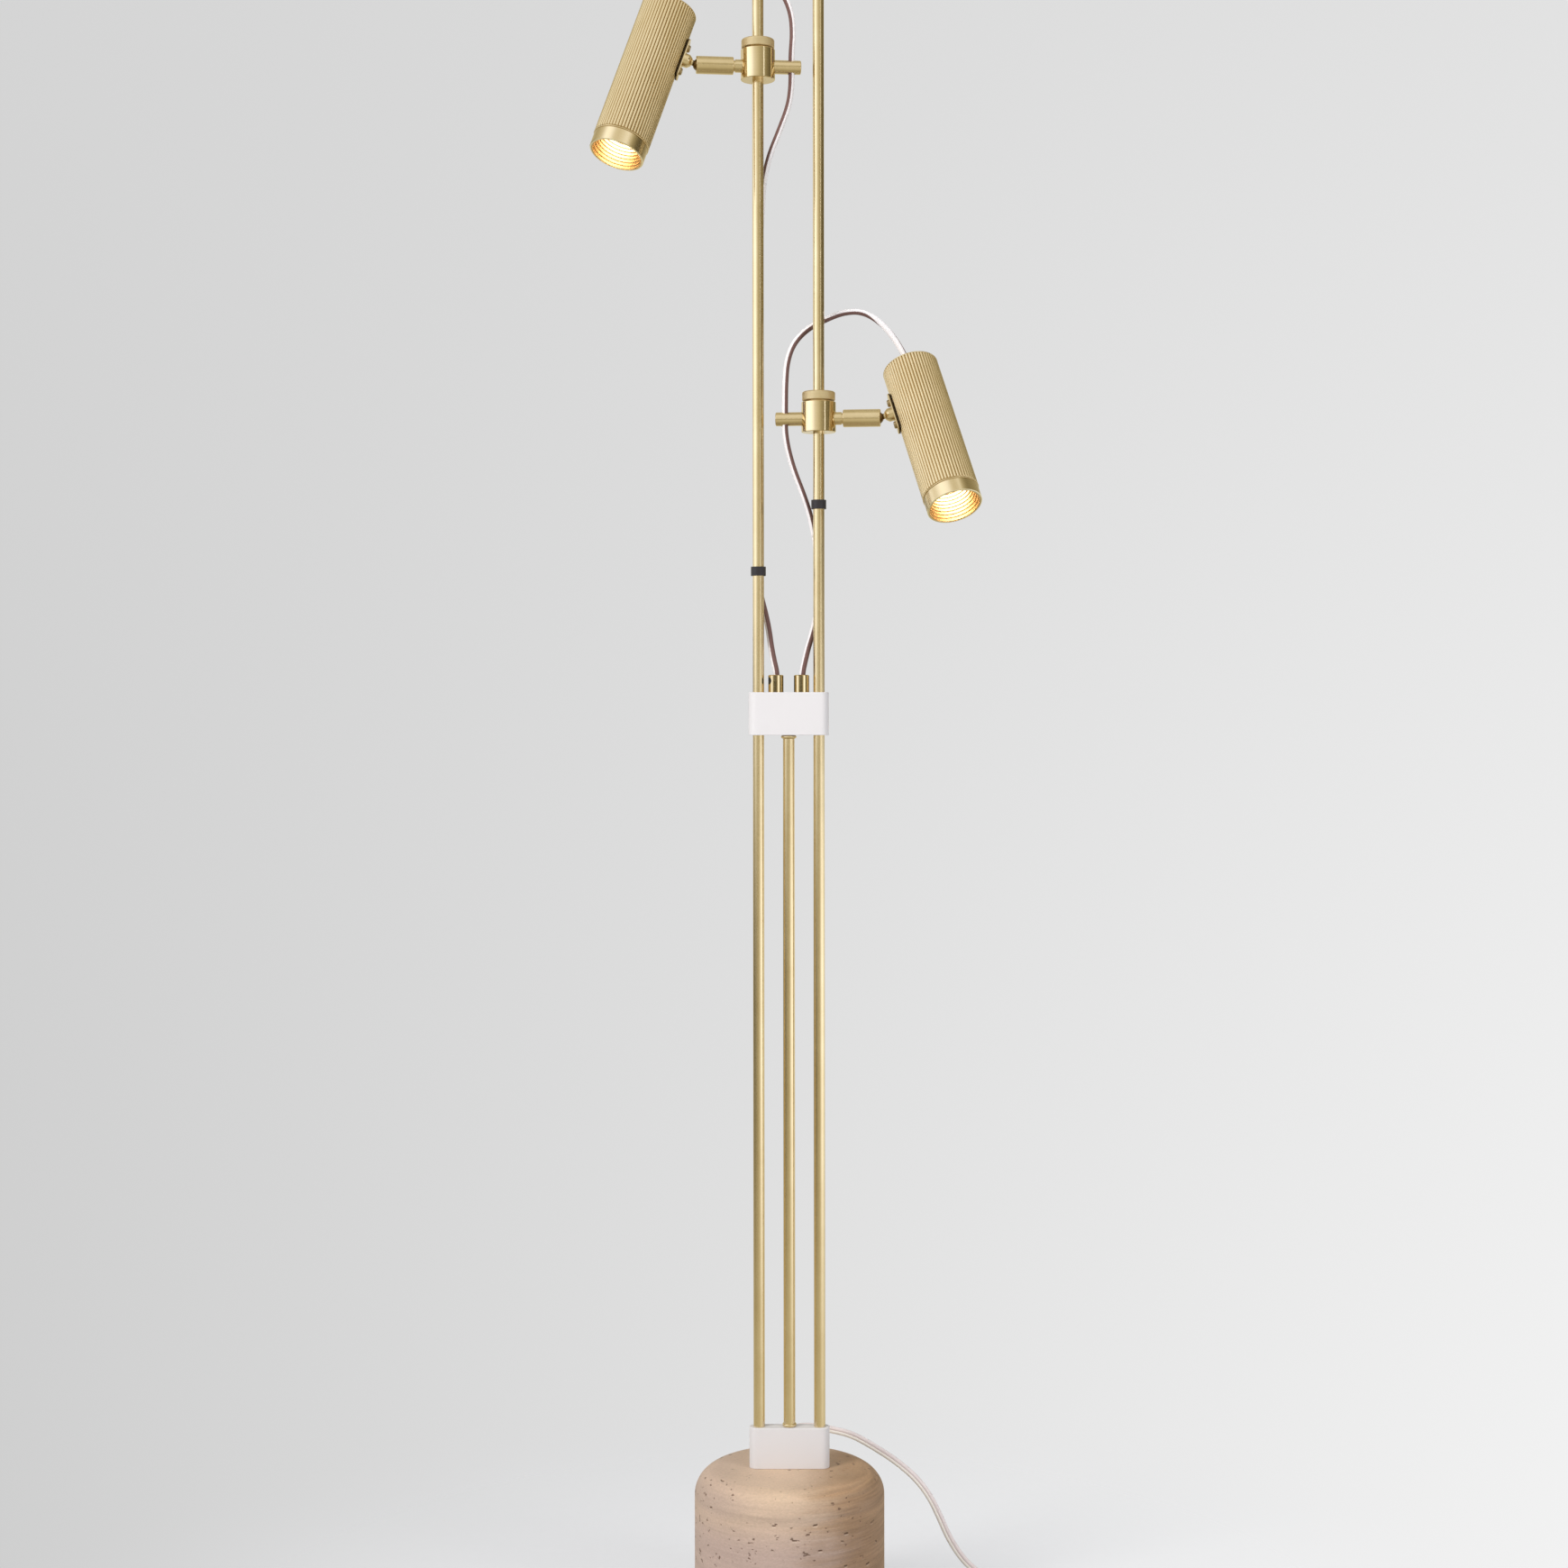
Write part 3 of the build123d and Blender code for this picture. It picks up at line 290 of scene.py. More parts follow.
def reeded_brass(name, spot):
    """The head's reeds: satin crests, and grooves browned with painted shade."""
    finish, tone = brass(name, EVEN, 0.25, 0.31)
    radius = finish.aside(finish.reach(spot.axis), spot.up)
    # Painted shade in the grooves between the reeds
    groove = finish.times(finish.rest(finish.span(radius, *GROOVE_RADII)), GROOVE_SHARE)
    return finish.set(Base_Color=finish.mix(groove, tone, PAINTED_SHADE_BROWN))


RING_LINES = 2600.0
# Where the painted shadow line under the bead and the painted glow on the lip lie along the head, and the
# glow's colour
RING_SHADE = (-0.0975, -0.0968)
RING_LIP = (-0.1086, -0.1092)
RING_LIP_PAINTED_GLOW = (1.0, 0.90, 0.68)


def ring_brass(name, spot):
    """The front ring: satin, with a painted shadow line under its bead and a painted glow of the lamp on its
    lip.
    """
    finish = Finish(name, Metallic=1.0)
    level = finish.along(finish.reach(spot.axis), spot.up)
    steps = finish.node("CombineXYZ", {"X": finish.times(level, RING_LINES)}).outputs["Vector"]
    lines = finish.noise(steps, 1.0, 3.0)
    # Painted shadow: the dark line under the bead
    tone = finish.mix(finish.span(level, *RING_SHADE), brass_tone(finish, lines), PAINTED_SHADE_BROWN)
    # Painted light: the lamp's glow on the lip
    tone = finish.mix(finish.span(level, *RING_LIP), tone, RING_LIP_PAINTED_GLOW)
    return finish.set(Base_Color=tone, Roughness=finish.between(lines, 0.17, 0.23))


# How far the painted shade on the ball reaches, and its colour
BALL_SHADE = (0.0058, 0.0066)
BALL_PAINTED_SHADE = (0.20, 0.135, 0.065)


def stud_brass(name, spot):
    """The ball, darkened with painted shade where it sits in the sleeve's end, and its bright stud and hub.
    """
    finish, tone = brass(name, EVEN, 0.16, 0.22)
    away = finish.vector("DISTANCE", finish.place(), spot.ball, "Value")
    # Painted shade on the ball inside the sleeve's end
    return finish.set(Base_Color=finish.mix(finish.span(away, *BALL_SHADE), BALL_PAINTED_SHADE, tone))


# Where the painted shadow starts on the plate's side next to the head, and its colour
PLATE_SHADE = (0.0144, 0.0150)
PLATE_PAINTED_SHADOW = (0.075, 0.05, 0.025)


def plate_brass(name, spot):
    """The mounting plate, with painted shadow where it beds on the head."""
    finish, tone = brass(name, EVEN, 0.2, 0.27)
    past = finish.along(finish.reach(spot.ball), spot.stud)
    # Painted shadow where the plate beds on the head
    return finish.set(Base_Color=finish.mix(finish.span(past, *PLATE_SHADE), tone, PLATE_PAINTED_SHADOW))


RING_SCREW_REACH = (0.045, 0.06)
SCREW_BROWN = (0.24, 0.165, 0.08)
SCREW_BROWN_SHARE = 0.65
RING_SCREW_DULLING = 0.6


def screw_brass(name, spot):
    """Dark brass plate screws near the ball joint, and the black grub screw far down the head."""
    finish = Finish(name)
    away = finish.vector("DISTANCE", finish.place(), spot.ball, "Value")
    black = finish.span(away, *RING_SCREW_REACH)
    lines = brush_lines(finish, EVEN, 2.0)
    brown = finish.mix(SCREW_BROWN_SHARE, brass_tone(finish, lines), SCREW_BROWN)
    bright = finish.rest(finish.times(black, RING_SCREW_DULLING))
    rough = finish.between(lines, 0.24, 0.32, 0.3, 0.7)
    return finish.set(Base_Color=finish.mix(black, brown, BLACKED), Metallic=bright, Roughness=rough)


GLAND_SCREW = Vector((-0.0114, 0.0, 0.8372))
GLAND_SCREW_TURN = math.radians(206)
GLAND_SCREW_WAY = Vector((math.cos(GLAND_SCREW_TURN), math.sin(GLAND_SCREW_TURN), 0.0))
GLAND_SEAT = (0.0034, 0.0031)
GLAND_SEAT_DULLING = 0.9


def gland_brass():
    """Bright turned brass, with a black seat round the left gland's screw."""
    finish, tone = brass("gland_brass", ROUND_Z, 0.045, 0.075)
    reach = finish.reach(GLAND_SCREW)
    outside = finish.math("GREATER_THAN", finish.along(reach, GLAND_SCREW_WAY), 0.0)
    away = finish.aside(reach, GLAND_SCREW_WAY)
    seat = finish.times(finish.span(away, *GLAND_SEAT), outside)
    bright = finish.rest(finish.times(seat, GLAND_SEAT_DULLING))
    return finish.set(Base_Color=finish.mix(seat, tone, BLACKED), Metallic=bright)


def gold_anodised():
    """The baffle's warm gold."""
    finish = Finish("gold_anodised", Metallic=1.0)
    lines = brush_lines(finish, SLOW, 2.0)
    tone = finish.mix(lines, (0.88, 0.64, 0.36), (0.93, 0.72, 0.45))
    return finish.set(Base_Color=tone, Roughness=finish.between(lines, 0.34, 0.40, 0.2, 0.8))


# Coats, plastics and cords

PEEL_SCALE = 1500.0
PEEL_DEPTH = 0.00005


def powder_coat():
    """Slightly warm white with the fine orange peel of a powder coat."""
    finish = Finish("powder_coat")
    peel = finish.noise(finish.place(), PEEL_SCALE, 2.0)
    clouds = finish.noise(finish.place(), 24.0, 3.0)
    tone = finish.mix(clouds, (0.728, 0.702, 0.706), (0.752, 0.729, 0.733))
    rough = finish.between(peel, 0.42, 0.56, 0.2, 0.8)
    return finish.set(Base_Color=tone, Roughness=rough, Normal=finish.bump(peel, PEEL_DEPTH, 0.2))


def plain_grain(name, dark, light, roughness, scale, bump, metallic=0.0, sheen=0.0):
    """A fine-grained finish between two tones."""
    finish = Finish(name, Metallic=metallic, Sheen_Weight=sheen)
    grain = finish.noise(finish.place(), scale, 4.0)
    rough = finish.between(grain, roughness - 0.06, roughness + 0.06)
    tone = finish.mix(grain, dark, light)
    return finish.set(Base_Color=tone, Roughness=rough, Normal=finish.bump(grain, bump, 0.4))


def cord_coordinates(finish):
    """How far along the cord, in metres, and how far round it, from 0 to 1."""
    apart = finish.parts(finish.node("TexCoord").outputs["UV"])
    return apart["X"], apart["Y"]


def cord_side(finish, around):
    """From 1 on the cord's one side to -1 on its other."""
    return finish.math("COSINE", finish.times(around, 2 * math.pi))


BRAID_PITCH = 620.0
BRAID_STRANDS = 6.0


def cord_braid(finish, along, around):
    """Two sets of strands that wind round the cord in opposite ways."""
    turns = finish.times(around, BRAID_STRANDS)
    steps = finish.times(along, BRAID_PITCH)
    waves = []
    for way in ("ADD", "SUBTRACT"):
        phase = finish.times(finish.math(way, steps, turns), 2 * math.pi)
        waves.append(finish.math("SINE", phase))
    return finish.math("ADD", finish.times(finish.times(*waves), 0.5), 0.5)


BRAID_SHADE = 0.12
BRAID_DEPTH = 0.0001
# Where the cord's dark side, partly painted shade, begins round it, and how ragged its edge is
DARK_SIDE = (-0.10, 0.16)
DARK_SIDE_FRAYING = 0.16


def textile_cord():
    """Braided sheath, pale pink on one side and mauve-brown on the other, the mauve-brown partly the braid's
    own colour and partly painted shade, turned along each stretch to where the cord is shaded.
    """
    finish = Finish("textile_cord", Roughness=0.6, Sheen_Weight=0.12)
    along, around = cord_coordinates(finish)
    braid = cord_braid(finish, along, around)
    fleck = finish.noise(finish.place(), 900.0, 2.0)
    side = finish.math("ADD", cord_side(finish, around), finish.sway(fleck, DARK_SIDE_FRAYING))
    pale = finish.mix(fleck, (0.88, 0.82, 0.83), (0.97, 0.94, 0.945))
    # The dark side: partly the braid's own mauve-brown, partly painted shade
    brown = finish.mix(fleck, (0.125, 0.062, 0.055), (0.185, 0.10, 0.088))
    tone = finish.mix(finish.span(side, *DARK_SIDE), pale, brown)
    tone = finish.mix(BRAID_SHADE, tone, finish.between(braid, 0.5, 1.0, 0.0, 1.0), "MULTIPLY")
    return finish.set(Base_Color=tone, Normal=finish.bump(braid, BRAID_DEPTH, 0.3))


FLEX_CORES = (-0.05, 0.05)
# Where the painted shade in the groove between the cores lies, how much of it shows, and its colour
FLEX_GROOVE = (0.08, 0.3)
FLEX_GROOVE_SHARE = 0.45
FLEX_GROOVE_PAINTED_SHADE = (0.45, 0.31, 0.30)


def twin_flex():
    """Glossy pale sheath of the lead: cream on one core, pinker on the other, and painted mauve shade in the
    groove between.
    """
    finish = Finish("twin_flex", Coat_Weight=0.25)
    _, around = cord_coordinates(finish)
    side = cord_side(finish, around)
    cloud = finish.noise(finish.place(), 60.0, 3.0)
    cream = finish.mix(cloud, (0.94, 0.88, 0.79), (0.97, 0.92, 0.85))
    pink = finish.mix(cloud, (0.84, 0.73, 0.71), (0.90, 0.81, 0.80))
    tone = finish.mix(finish.span(side, *FLEX_CORES), cream, pink)
    # Painted shade in the groove between the cores
    groove = finish.rest(finish.span(finish.math("ABSOLUTE", side), *FLEX_GROOVE))
    tone = finish.mix(finish.times(groove, FLEX_GROOVE_SHARE), tone, FLEX_GROOVE_PAINTED_SHADE)
    return finish.set(Base_Color=tone, Roughness=finish.between(cloud, 0.30, 0.42, 0.2, 0.8))


LENS_GLOW = 5.5


def lit_lens():
    """The lamp's frosted front, lit warm white."""
    finish = Finish("lit_lens", Emission_Strength=LENS_GLOW, Roughness=0.5)
    frost = finish.noise(finish.place(), 700.0, 2.0)
    glow = finish.mix(frost, (1.0, 0.90, 0.70), (1.0, 0.95, 0.83))
    tone = finish.mix(frost, (0.85, 0.82, 0.75), (0.95, 0.93, 0.88))
    return finish.set(Base_Color=tone, Emission_Color=glow)


# Stone, with places in metres and scales per metre

STONE_PINK = (0.555, 0.412, 0.345)
STONE_TAN = (0.73, 0.535, 0.375)
STONE_BROWN = (0.50, 0.305, 0.168)
STONE_UMBER = (0.39, 0.235, 0.130)
# Painted highlight for the lips under the pits, and painted shade for the pits and pores
STONE_LIP_HIGHLIGHT = (0.86, 0.72, 0.58)
STONE_HOLE_SHADE = (0.125, 0.070, 0.044)
STONE_CLOUDS = 20.0
STONE_BEDS = (8, 8, 110)
STONE_STREAKS = (24, 24, 560)
STONE_GRAIN = (420, 420, 900)
STONE_PORES = (150, 150, 270)

# Where the tones lie, how much of them shows, and how far beds and clouds blur the brown side
RIGHT_SIDE = (-0.005, 0.062)
RIGHT_SHARE = 0.95
LEFT_SIDE = (-0.01, -0.07)
LEFT_SHARE = 0.55
LOW_PART = (0.135, 0.085)
BEDS_BLUR = 0.10
CLOUDS_BLUR = 0.05
# A darker band round the side between these heights, and its tint
DARK_BAND_BELOW = (0.112, 0.120)
DARK_BAND_ABOVE = (0.136, 0.128)
DARK_BAND_TINT = (0.87, 0.875, 0.90)

# How strong beds, streaks and grain are
BED_SHADE = 0.34
STREAK_SHADE = 0.12
STREAK_SHADE_RIGHT = 0.35
GRAIN_SHADE = 0.24

# Pits and pores: their edges, and how much of their painted shade and of the painted highlight on the lip
# under them shows
PIT_RAGGED = 1.2
PIT_EDGE = (0.12, 0.75)
PORES_GATHER = 0.2
PORE_EDGE = (0.66, 0.73)
PORE_SHARE = 0.92
HOLE_SHADE_SHARE = 0.88
LIP_EDGE = (0.15, 0.8)
LIP_HIGHLIGHT_SHARE = 0.2
GRAIN_HEIGHT = 0.5
PORE_HEIGHT = 2.0
STONE_BUMP = 0.0003


def stone_tone(finish, beds, clouds):
    """Tan at the top, pinkish low and on the left, brown on the right, partly the stone's own tone and partly
    painted shade; and how far right a point is.
    """
    apart = finish.parts(finish.place())
    across = finish.math("ADD", apart["X"], finish.sway(beds, BEDS_BLUR))
    across = finish.math("ADD", across, finish.sway(clouds, CLOUDS_BLUR))
    right = finish.span(across, *RIGHT_SIDE)
    left = finish.times(finish.span(apart["X"], *LEFT_SIDE), LEFT_SHARE)
    low = finish.math("MAXIMUM", finish.span(apart["Z"], *LOW_PART), left)
    brown = finish.mix(low, STONE_BROWN, STONE_UMBER)
    tone = finish.mix(low, STONE_TAN, STONE_PINK)
    # The brown right side: partly the stone's own tone, partly painted shade
    tone = finish.mix(finish.times(right, RIGHT_SHARE), tone, brown)
    below, above = [finish.span(apart["Z"], *edge) for edge in (DARK_BAND_BELOW, DARK_BAND_ABOVE)]
    return finish.mix(finish.times(below, above), tone, DARK_BAND_TINT, "MULTIPLY"), right


def stone_holes(finish, grain, clouds):
    """How much painted shade the sunk pits and the pores between them put on a point, and the pores alone."""
    pit = finish.node("Attribute", attribute_name="pit").outputs["Fac"]
    ragged = finish.times(finish.sway(grain, PIT_RAGGED), pit)
    pits = finish.span(finish.math("ADD", pit, ragged), *PIT_EDGE)
    pores = finish.noise(finish.place(STONE_PORES), 1.0, 2.0, 0.5)
    pores = finish.span(finish.math("ADD", pores, finish.sway(clouds, PORES_GATHER)), *PORE_EDGE)
    hole_shade = finish.math("MAXIMUM", pits, finish.times(pores, PORE_SHARE))
    return finish.times(hole_shade, HOLE_SHADE_SHARE), pores


def travertine():
    """Stone in fine level beds, with painted shade in its pits and pores, and a painted highlight on the lip
    under each pit.
    """
    finish = Finish("travertine")
    clouds = finish.noise(finish.place(), STONE_CLOUDS, 3.0)
    beds = finish.noise(finish.place(STONE_BEDS), 1.0, 5.0, 0.6)
    streaks = finish.noise(finish.place(STONE_STREAKS), 1.0, 4.0)
    grain = finish.noise(finish.place(STONE_GRAIN), 1.0, 3.0)
    tone, right = stone_tone(finish, beds, clouds)
    tone = finish.mix(BED_SHADE, tone, finish.between(beds, 0.62, 1.05, 0.30, 0.62), "MULTIPLY")
    lined = finish.math("ADD", finish.times(right, STREAK_SHADE_RIGHT), STREAK_SHADE)
    tone = finish.mix(lined, tone, finish.between(streaks, 0.45, 1.0, 0.35, 0.65), "MULTIPLY")
    tone = finish.mix(GRAIN_SHADE, tone, finish.between(grain, 0.5, 1.12, 0.3, 0.7), "MULTIPLY")
    lip = finish.node("Attribute", attribute_name="lip").outputs["Fac"]
    # Painted highlight on the lip under each pit, where its lower wall would catch the light
    tone = finish.mix(finish.times(finish.span(lip, *LIP_EDGE), LIP_HIGHLIGHT_SHARE), tone, STONE_LIP_HIGHLIGHT)
    hole_shade, pores = stone_holes(finish, grain, clouds)
    # Painted shade in the pits and pores
    tone = finish.mix(hole_shade, tone, STONE_HOLE_SHADE)
    sunk = finish.times(pores, PORE_HEIGHT)
    level = finish.math("SUBTRACT", finish.times(grain, GRAIN_HEIGHT), sunk)
    rough = finish.between(beds, 0.62, 0.5, 0.3, 0.7)
    return finish.set(Base_Color=tone, Roughness=rough, Normal=finish.bump(level, STONE_BUMP, 0.5))


# Brass finishes: their grain and roughness
BRASS_FINISHES = {
    "satin_brass": (EVEN, 0.20),
    "drawn_brass": (ALONG_Z, 0.20),
    "turned_brass": (ROUND_Z, 0.08),
    "clamp_brass": (ROUND_Z, 0.11),
}

# Plain finishes: dark and light tone, roughness, scale of the grain, depth of its bump, metal and sheen
PLAIN_FINISHES = {
    "felt": ((0.03, 0.028, 0.026), (0.07, 0.065, 0.06), 0.9, 900.0, 0.0006),
    "black_steel": ((0.012, 0.012, 0.013), (0.03, 0.03, 0.032), 0.38, 800.0, 0.0001, 0.6),
    "black_rubber": ((0.014, 0.012, 0.015), (0.030, 0.027, 0.032), 0.42, 1200.0, 0.0001),
    "moulded_pale": ((0.70, 0.60, 0.54), (0.78, 0.69, 0.63), 0.48, 1300.0, 0.0001),
    "cord_tie": ((0.10, 0.085, 0.08), (0.22, 0.19, 0.18), 0.85, 1700.0, 0.0005, 0.0, 0.3),
    "lamp_bowl": ((0.70, 0.70, 0.70), (0.86, 0.86, 0.86), 0.22, 400.0, 0.0001, 1.0),
    "ceramic": ((0.72, 0.69, 0.63), (0.80, 0.78, 0.73), 0.55, 900.0, 0.0001),
    "plated_pins": ((0.62, 0.61, 0.57), (0.74, 0.73, 0.69), 0.24, 900.0, 0.00005, 1.0),
}
FINISHES = {
    "travertine": travertine(),
    "white_coat": powder_coat(),
    "gland_brass": gland_brass(),
    "gold_baffle": gold_anodised(),
    "spot_cord": textile_cord(),
    "mains_lead": twin_flex(),
    "lamp_glass": lit_lens(),
}
for name, values in BRASS_FINISHES.items():
    FINISHES[name] = satin_brass(name, *values)
for name, values in PLAIN_FINISHES.items():
    FINISHES[name] = plain_grain(name, *values)

SLOT_OF = {part["node"]: part["material_slot"] for part in frame["record"]["subparts"]}
SPECIAL_FINISH = {
    "left_rod": "drawn_brass",
    "right_rod": "drawn_brass",
    "conduit": "drawn_brass",
    "cord_glands": "gland_brass",
    "ferrules": "turned_brass",
    "upper_clamp_body": "clamp_brass",
    "lower_clamp_body": "clamp_brass",
}

# The finishes that follow a spot's own place, by node: what they are called and how they are made
SPOT_FINISHES = {
    "clamp_nut": ("knurl", knurled_brass),
    "head_body": ("reeds", reeded_brass),
    "front_ring": ("ring", ring_brass),
    "ball_stud": ("stud", stud_brass),
    "mount_plate": ("plate", plate_brass),
    "head_screws": ("screws", screw_brass),
}


def finish_spots():
    for name, spot in SPOTS.items():
        for node, (label, make) in SPOT_FINISHES.items():
            FINISHES[f"{name}_{node}"] = make(f"{name}_{label}", spot)


def dress(piece, slot):
    """Gives a piece the finish named by a slot."""
    piece.data.materials.clear()
    piece.data.materials.append(FINISHES[slot])
    return piece


def dress_nodes():
    for name, node in frame["nodes"].items():
        node.data.materials.clear()
        finish = name if name in FINISHES else SPECIAL_FINISH.get(name, SLOT_OF[name])
        node.data.materials.append(FINISHES[finish])


finish_spots()
dress_nodes()


# Foot

FOOT_RADIUS = 84.0
FOOT_TOP = 140.0
FOOT_BOTTOM = 2.0
FOOT_SHOULDER = 23.0
FOOT_EDGE = 2.0
FOOT_EDGE_WAY = (0.7, -0.7)
STONE_STEP = 0.65
TOP_STEP = 2.0
STONE_COLUMNS = 812
STONE_PITS = 110
PITS_FROM_MIDDLE = 46.0
PIT_SEED = 11
LIP_ROWS = 2

# Where pits gather: degrees round the foot from its right side, and how far down its outline
PIT_GATHERINGS = (
    (312, 128), (300, 118), (318, 138), (287, 112), (243, 124), (228, 131), (40, 120), (130, 150), (170, 110),
)
GATHERED_SHARE = 0.3
GATHERING_DEGREES = 7
GATHERING_DOWN = 6

# A pit's measures in millimetres: the least, and what the largest pit adds to it
PIT_DEPTH = (0.5, 0.6)
PIT_HALF_LENGTH = (0.95, 0.9)
PIT_HALF_HEIGHT = (0.68, 0.24)

# The spread of its slant, the lobes that the largest pit adds, and their lengths and steps as shares
PIT_SLANT = 0.13
PIT_LOBES = 1.6
LOBE_LENGTHS = (0.75, 1.2)
LOBE_STEPS = (0.7, 1.3)


def foot_outline():
    """Radius, height and outward direction down the foot's outline, from the middle of its top."""
    outline = []
    flat = FOOT_RADIUS - FOOT_SHOULDER
    rings = round(flat / TOP_STEP)
    for number in range(1, rings):
        outline.append((flat * number / rings, FOOT_TOP, 0.0, 1.0))
    bends = round(FOOT_SHOULDER * math.pi / 2 / STONE_STEP)
    for number in range(bends + 1):
        angle = math.pi / 2 * number / bends
        out, up = math.sin(angle), math.cos(angle)
        outline.append((flat + FOOT_SHOULDER * out, FOOT_TOP - FOOT_SHOULDER * (1 - up), out, up))
    side = FOOT_TOP - FOOT_SHOULDER - FOOT_BOTTOM - FOOT_EDGE
    rows = round(side / STONE_STEP)
    for number in range(1, rows + 1):
        outline.append((FOOT_RADIUS, FOOT_TOP - FOOT_SHOULDER - side * number / rows, 1.0, 0.0))
    outline.append((FOOT_RADIUS - FOOT_EDGE, FOOT_BOTTOM, *FOOT_EDGE_WAY))
    return outline


def distances_down(outline):
    """How far each row lies down the outline, in millimetres."""
    distances = [outline[0][0]]
    for before, after in zip(outline, outline[1:]):
        distances.append(distances[-1] + math.dist(before[:2], after[:2]))
    return distances


def grown(measure, size):
    """A pit's measure, by its size from 0 to 1."""
    least, added = measure
    return least + added * size


def stone_pits(length):
    """The pits' lobes: distance down the outline, angle, half length, half height, depth and slant."""
    chance = random.Random(PIT_SEED)
    for _ in range(STONE_PITS):
        if chance.random() < GATHERED_SHARE:
            degrees, down = chance.choice(PIT_GATHERINGS)
            angle = math.radians(chance.gauss(degrees, GATHERING_DEGREES))
            down = chance.gauss(down, GATHERING_DOWN)
        else:
            angle = chance.uniform(0, 2 * math.pi)
            down = chance.uniform(PITS_FROM_MIDDLE, length)
        size = chance.random() ** 2
        slant = chance.gauss(0.0, PIT_SLANT)
        depth, half_height = grown(PIT_DEPTH, size), grown(PIT_HALF_HEIGHT, size)
        shift = 0.0
        for _ in range(1 + round(PIT_LOBES * size)):
            half_length = grown(PIT_HALF_LENGTH, size) * chance.uniform(*LOBE_LENGTHS)
            yield down + slant * shift, angle + shift / FOOT_RADIUS, half_length, half_height, depth, slant
            shift += half_length * chance.uniform(*LOBE_STEPS)


def pit_depths(outline):
    """How deep each point of the stone's grid lies in a pit."""
    depths = [[0.0] * STONE_COLUMNS for _ in outline]
    distances = distances_down(outline)
    turn = 2 * math.pi / STONE_COLUMNS
    for down, angle, half_length, half_height, depth, slant in stone_pits(distances[-1]):
        reach = half_height + abs(slant) * half_length
        centre = round(angle / turn)
        for row in range(bisect(distances, down - reach), bisect(distances, down + reach)):
            wide = outline[row][0] * turn
            columns = math.ceil(half_length / wide)
            for side in range(-columns, columns + 1):
                along = (side + centre) * wide - angle * outline[row][0]
                below = distances[row] - down - slant * along
                share = 1 - (along / half_length) ** 2 - (below / half_height) ** 2
                if share > 0 and row < len(outline) - 1:
                    column = (centre + side) % STONE_COLUMNS
                    depths[row][column] = max(depths[row][column], depth * share * (2 - share))
    return depths


def pit_lips(depths):
    """How much higher each point stands than the one a little above it, just under a pit: where the painted
    highlight on a pit's lip goes.
    """
    lips = []
    for number, row in enumerate(depths):
        above = depths[max(number - LIP_ROWS, 0)]
        lips.append([max(0.0, high - here) for high, here in zip(above, row)])
    return lips


def make_foot():
    """The travertine foot as one closed skin with its pits sunk in."""
    outline = foot_outline()
    depths = pit_depths(outline)
    points = [(0, 0, FOOT_TOP * MM)]
    for (radius, height, out, up), row in zip(outline, depths):
        for column, depth in enumerate(row):
            angle = 2 * math.pi * column / STONE_COLUMNS
            reach = (radius - depth * out) * MM
            points.append((reach * math.cos(angle), reach * math.sin(angle), (height - depth * up) * MM))
    points.append((0, 0, FOOT_BOTTOM * MM))
    faces = []
    last = len(points) - 1
    for column in range(STONE_COLUMNS):
        following = (column + 1) % STONE_COLUMNS
        faces.append((0, 1 + column, 1 + following))
        for row in range(len(outline) - 1):
            upper, lower = 1 + row * STONE_COLUMNS, 1 + (row + 1) * STONE_COLUMNS
            faces.append((upper + column, lower + column, lower + following, upper + following))
        rim = last - STONE_COLUMNS
        faces.append((rim + column, last, rim + following))
    data = bpy.data.meshes.new("stone")
    data.from_pydata(points, [], faces)
    data.shade_smooth()
    # The pits' depths, and the lips under them that get a painted highlight
    for name, rows in (("pit", depths), ("lip", pit_lips(depths))):
        marks = [0.0, *[value for row in rows for value in row], 0.0]
        data.attributes.new(name, "FLOAT", "POINT").data.foreach_set("value", marks)
    stone = dress(put("stone", data), "travertine")
    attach(stone, "stand")
    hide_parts("travertine_foot")


make_foot()


# Beads on the heads and the collar on the conduit

BEAD_SIDES = 160
BEAD_STEPS = 8

# Inner and outer radius, bottom and top in millimetres: the beads along their head, the collar up the stand
BEADS = {"front_bead": (24.52, 25.12, -96.7, -95.55), "top_bead": (24.05, 25.06, 41.55, 42.6)}
COLLAR = (6.22, 6.9, 786.1, 788.8)


def head_turn(spot):
    """From the head's own axes to the lamp's."""
    side = spot.up.cross(spot.stud)
    return Matrix.Translation(spot.axis) @ Matrix((spot.stud, side, spot.up)).transposed().to_4x4()


def bead(name, inner, outer, bottom, top, placed=Matrix()):
    """A thin half-round band about an upright axis, in millimetres along it, then moved to its place."""
    mesh = bmesh.new()
    middle, half = (bottom + top) / 2, (top - bottom) / 2
    section = [(inner, bottom), (inner, top)]
    for number in range(BEAD_STEPS + 1):
        angle = math.pi / 2 - math.pi * number / BEAD_STEPS
        reach = outer - half + half * math.cos(angle)
        section.append((reach, middle + half * math.sin(angle)))
    rings = []
    for number in range(BEAD_SIDES):
        angle = 2 * math.pi * number / BEAD_SIDES
        turned = [(radius * math.cos(angle), radius * math.sin(angle), level) for radius, level in section]
        rings.append([mesh.verts.new(Vector(point) * MM) for point in turned])
    for ring, following in zip(rings, rings[1:] + rings[:1]):
        for step in range(len(section)):
            after = (step + 1) % len(section)
            face = mesh.faces.new((ring[step], following[step], following[after], ring[after]))
            face.smooth = True
    bmesh.ops.transform(mesh, matrix=placed, verts=mesh.verts)
    return dress(finished(name, mesh), "satin_brass")


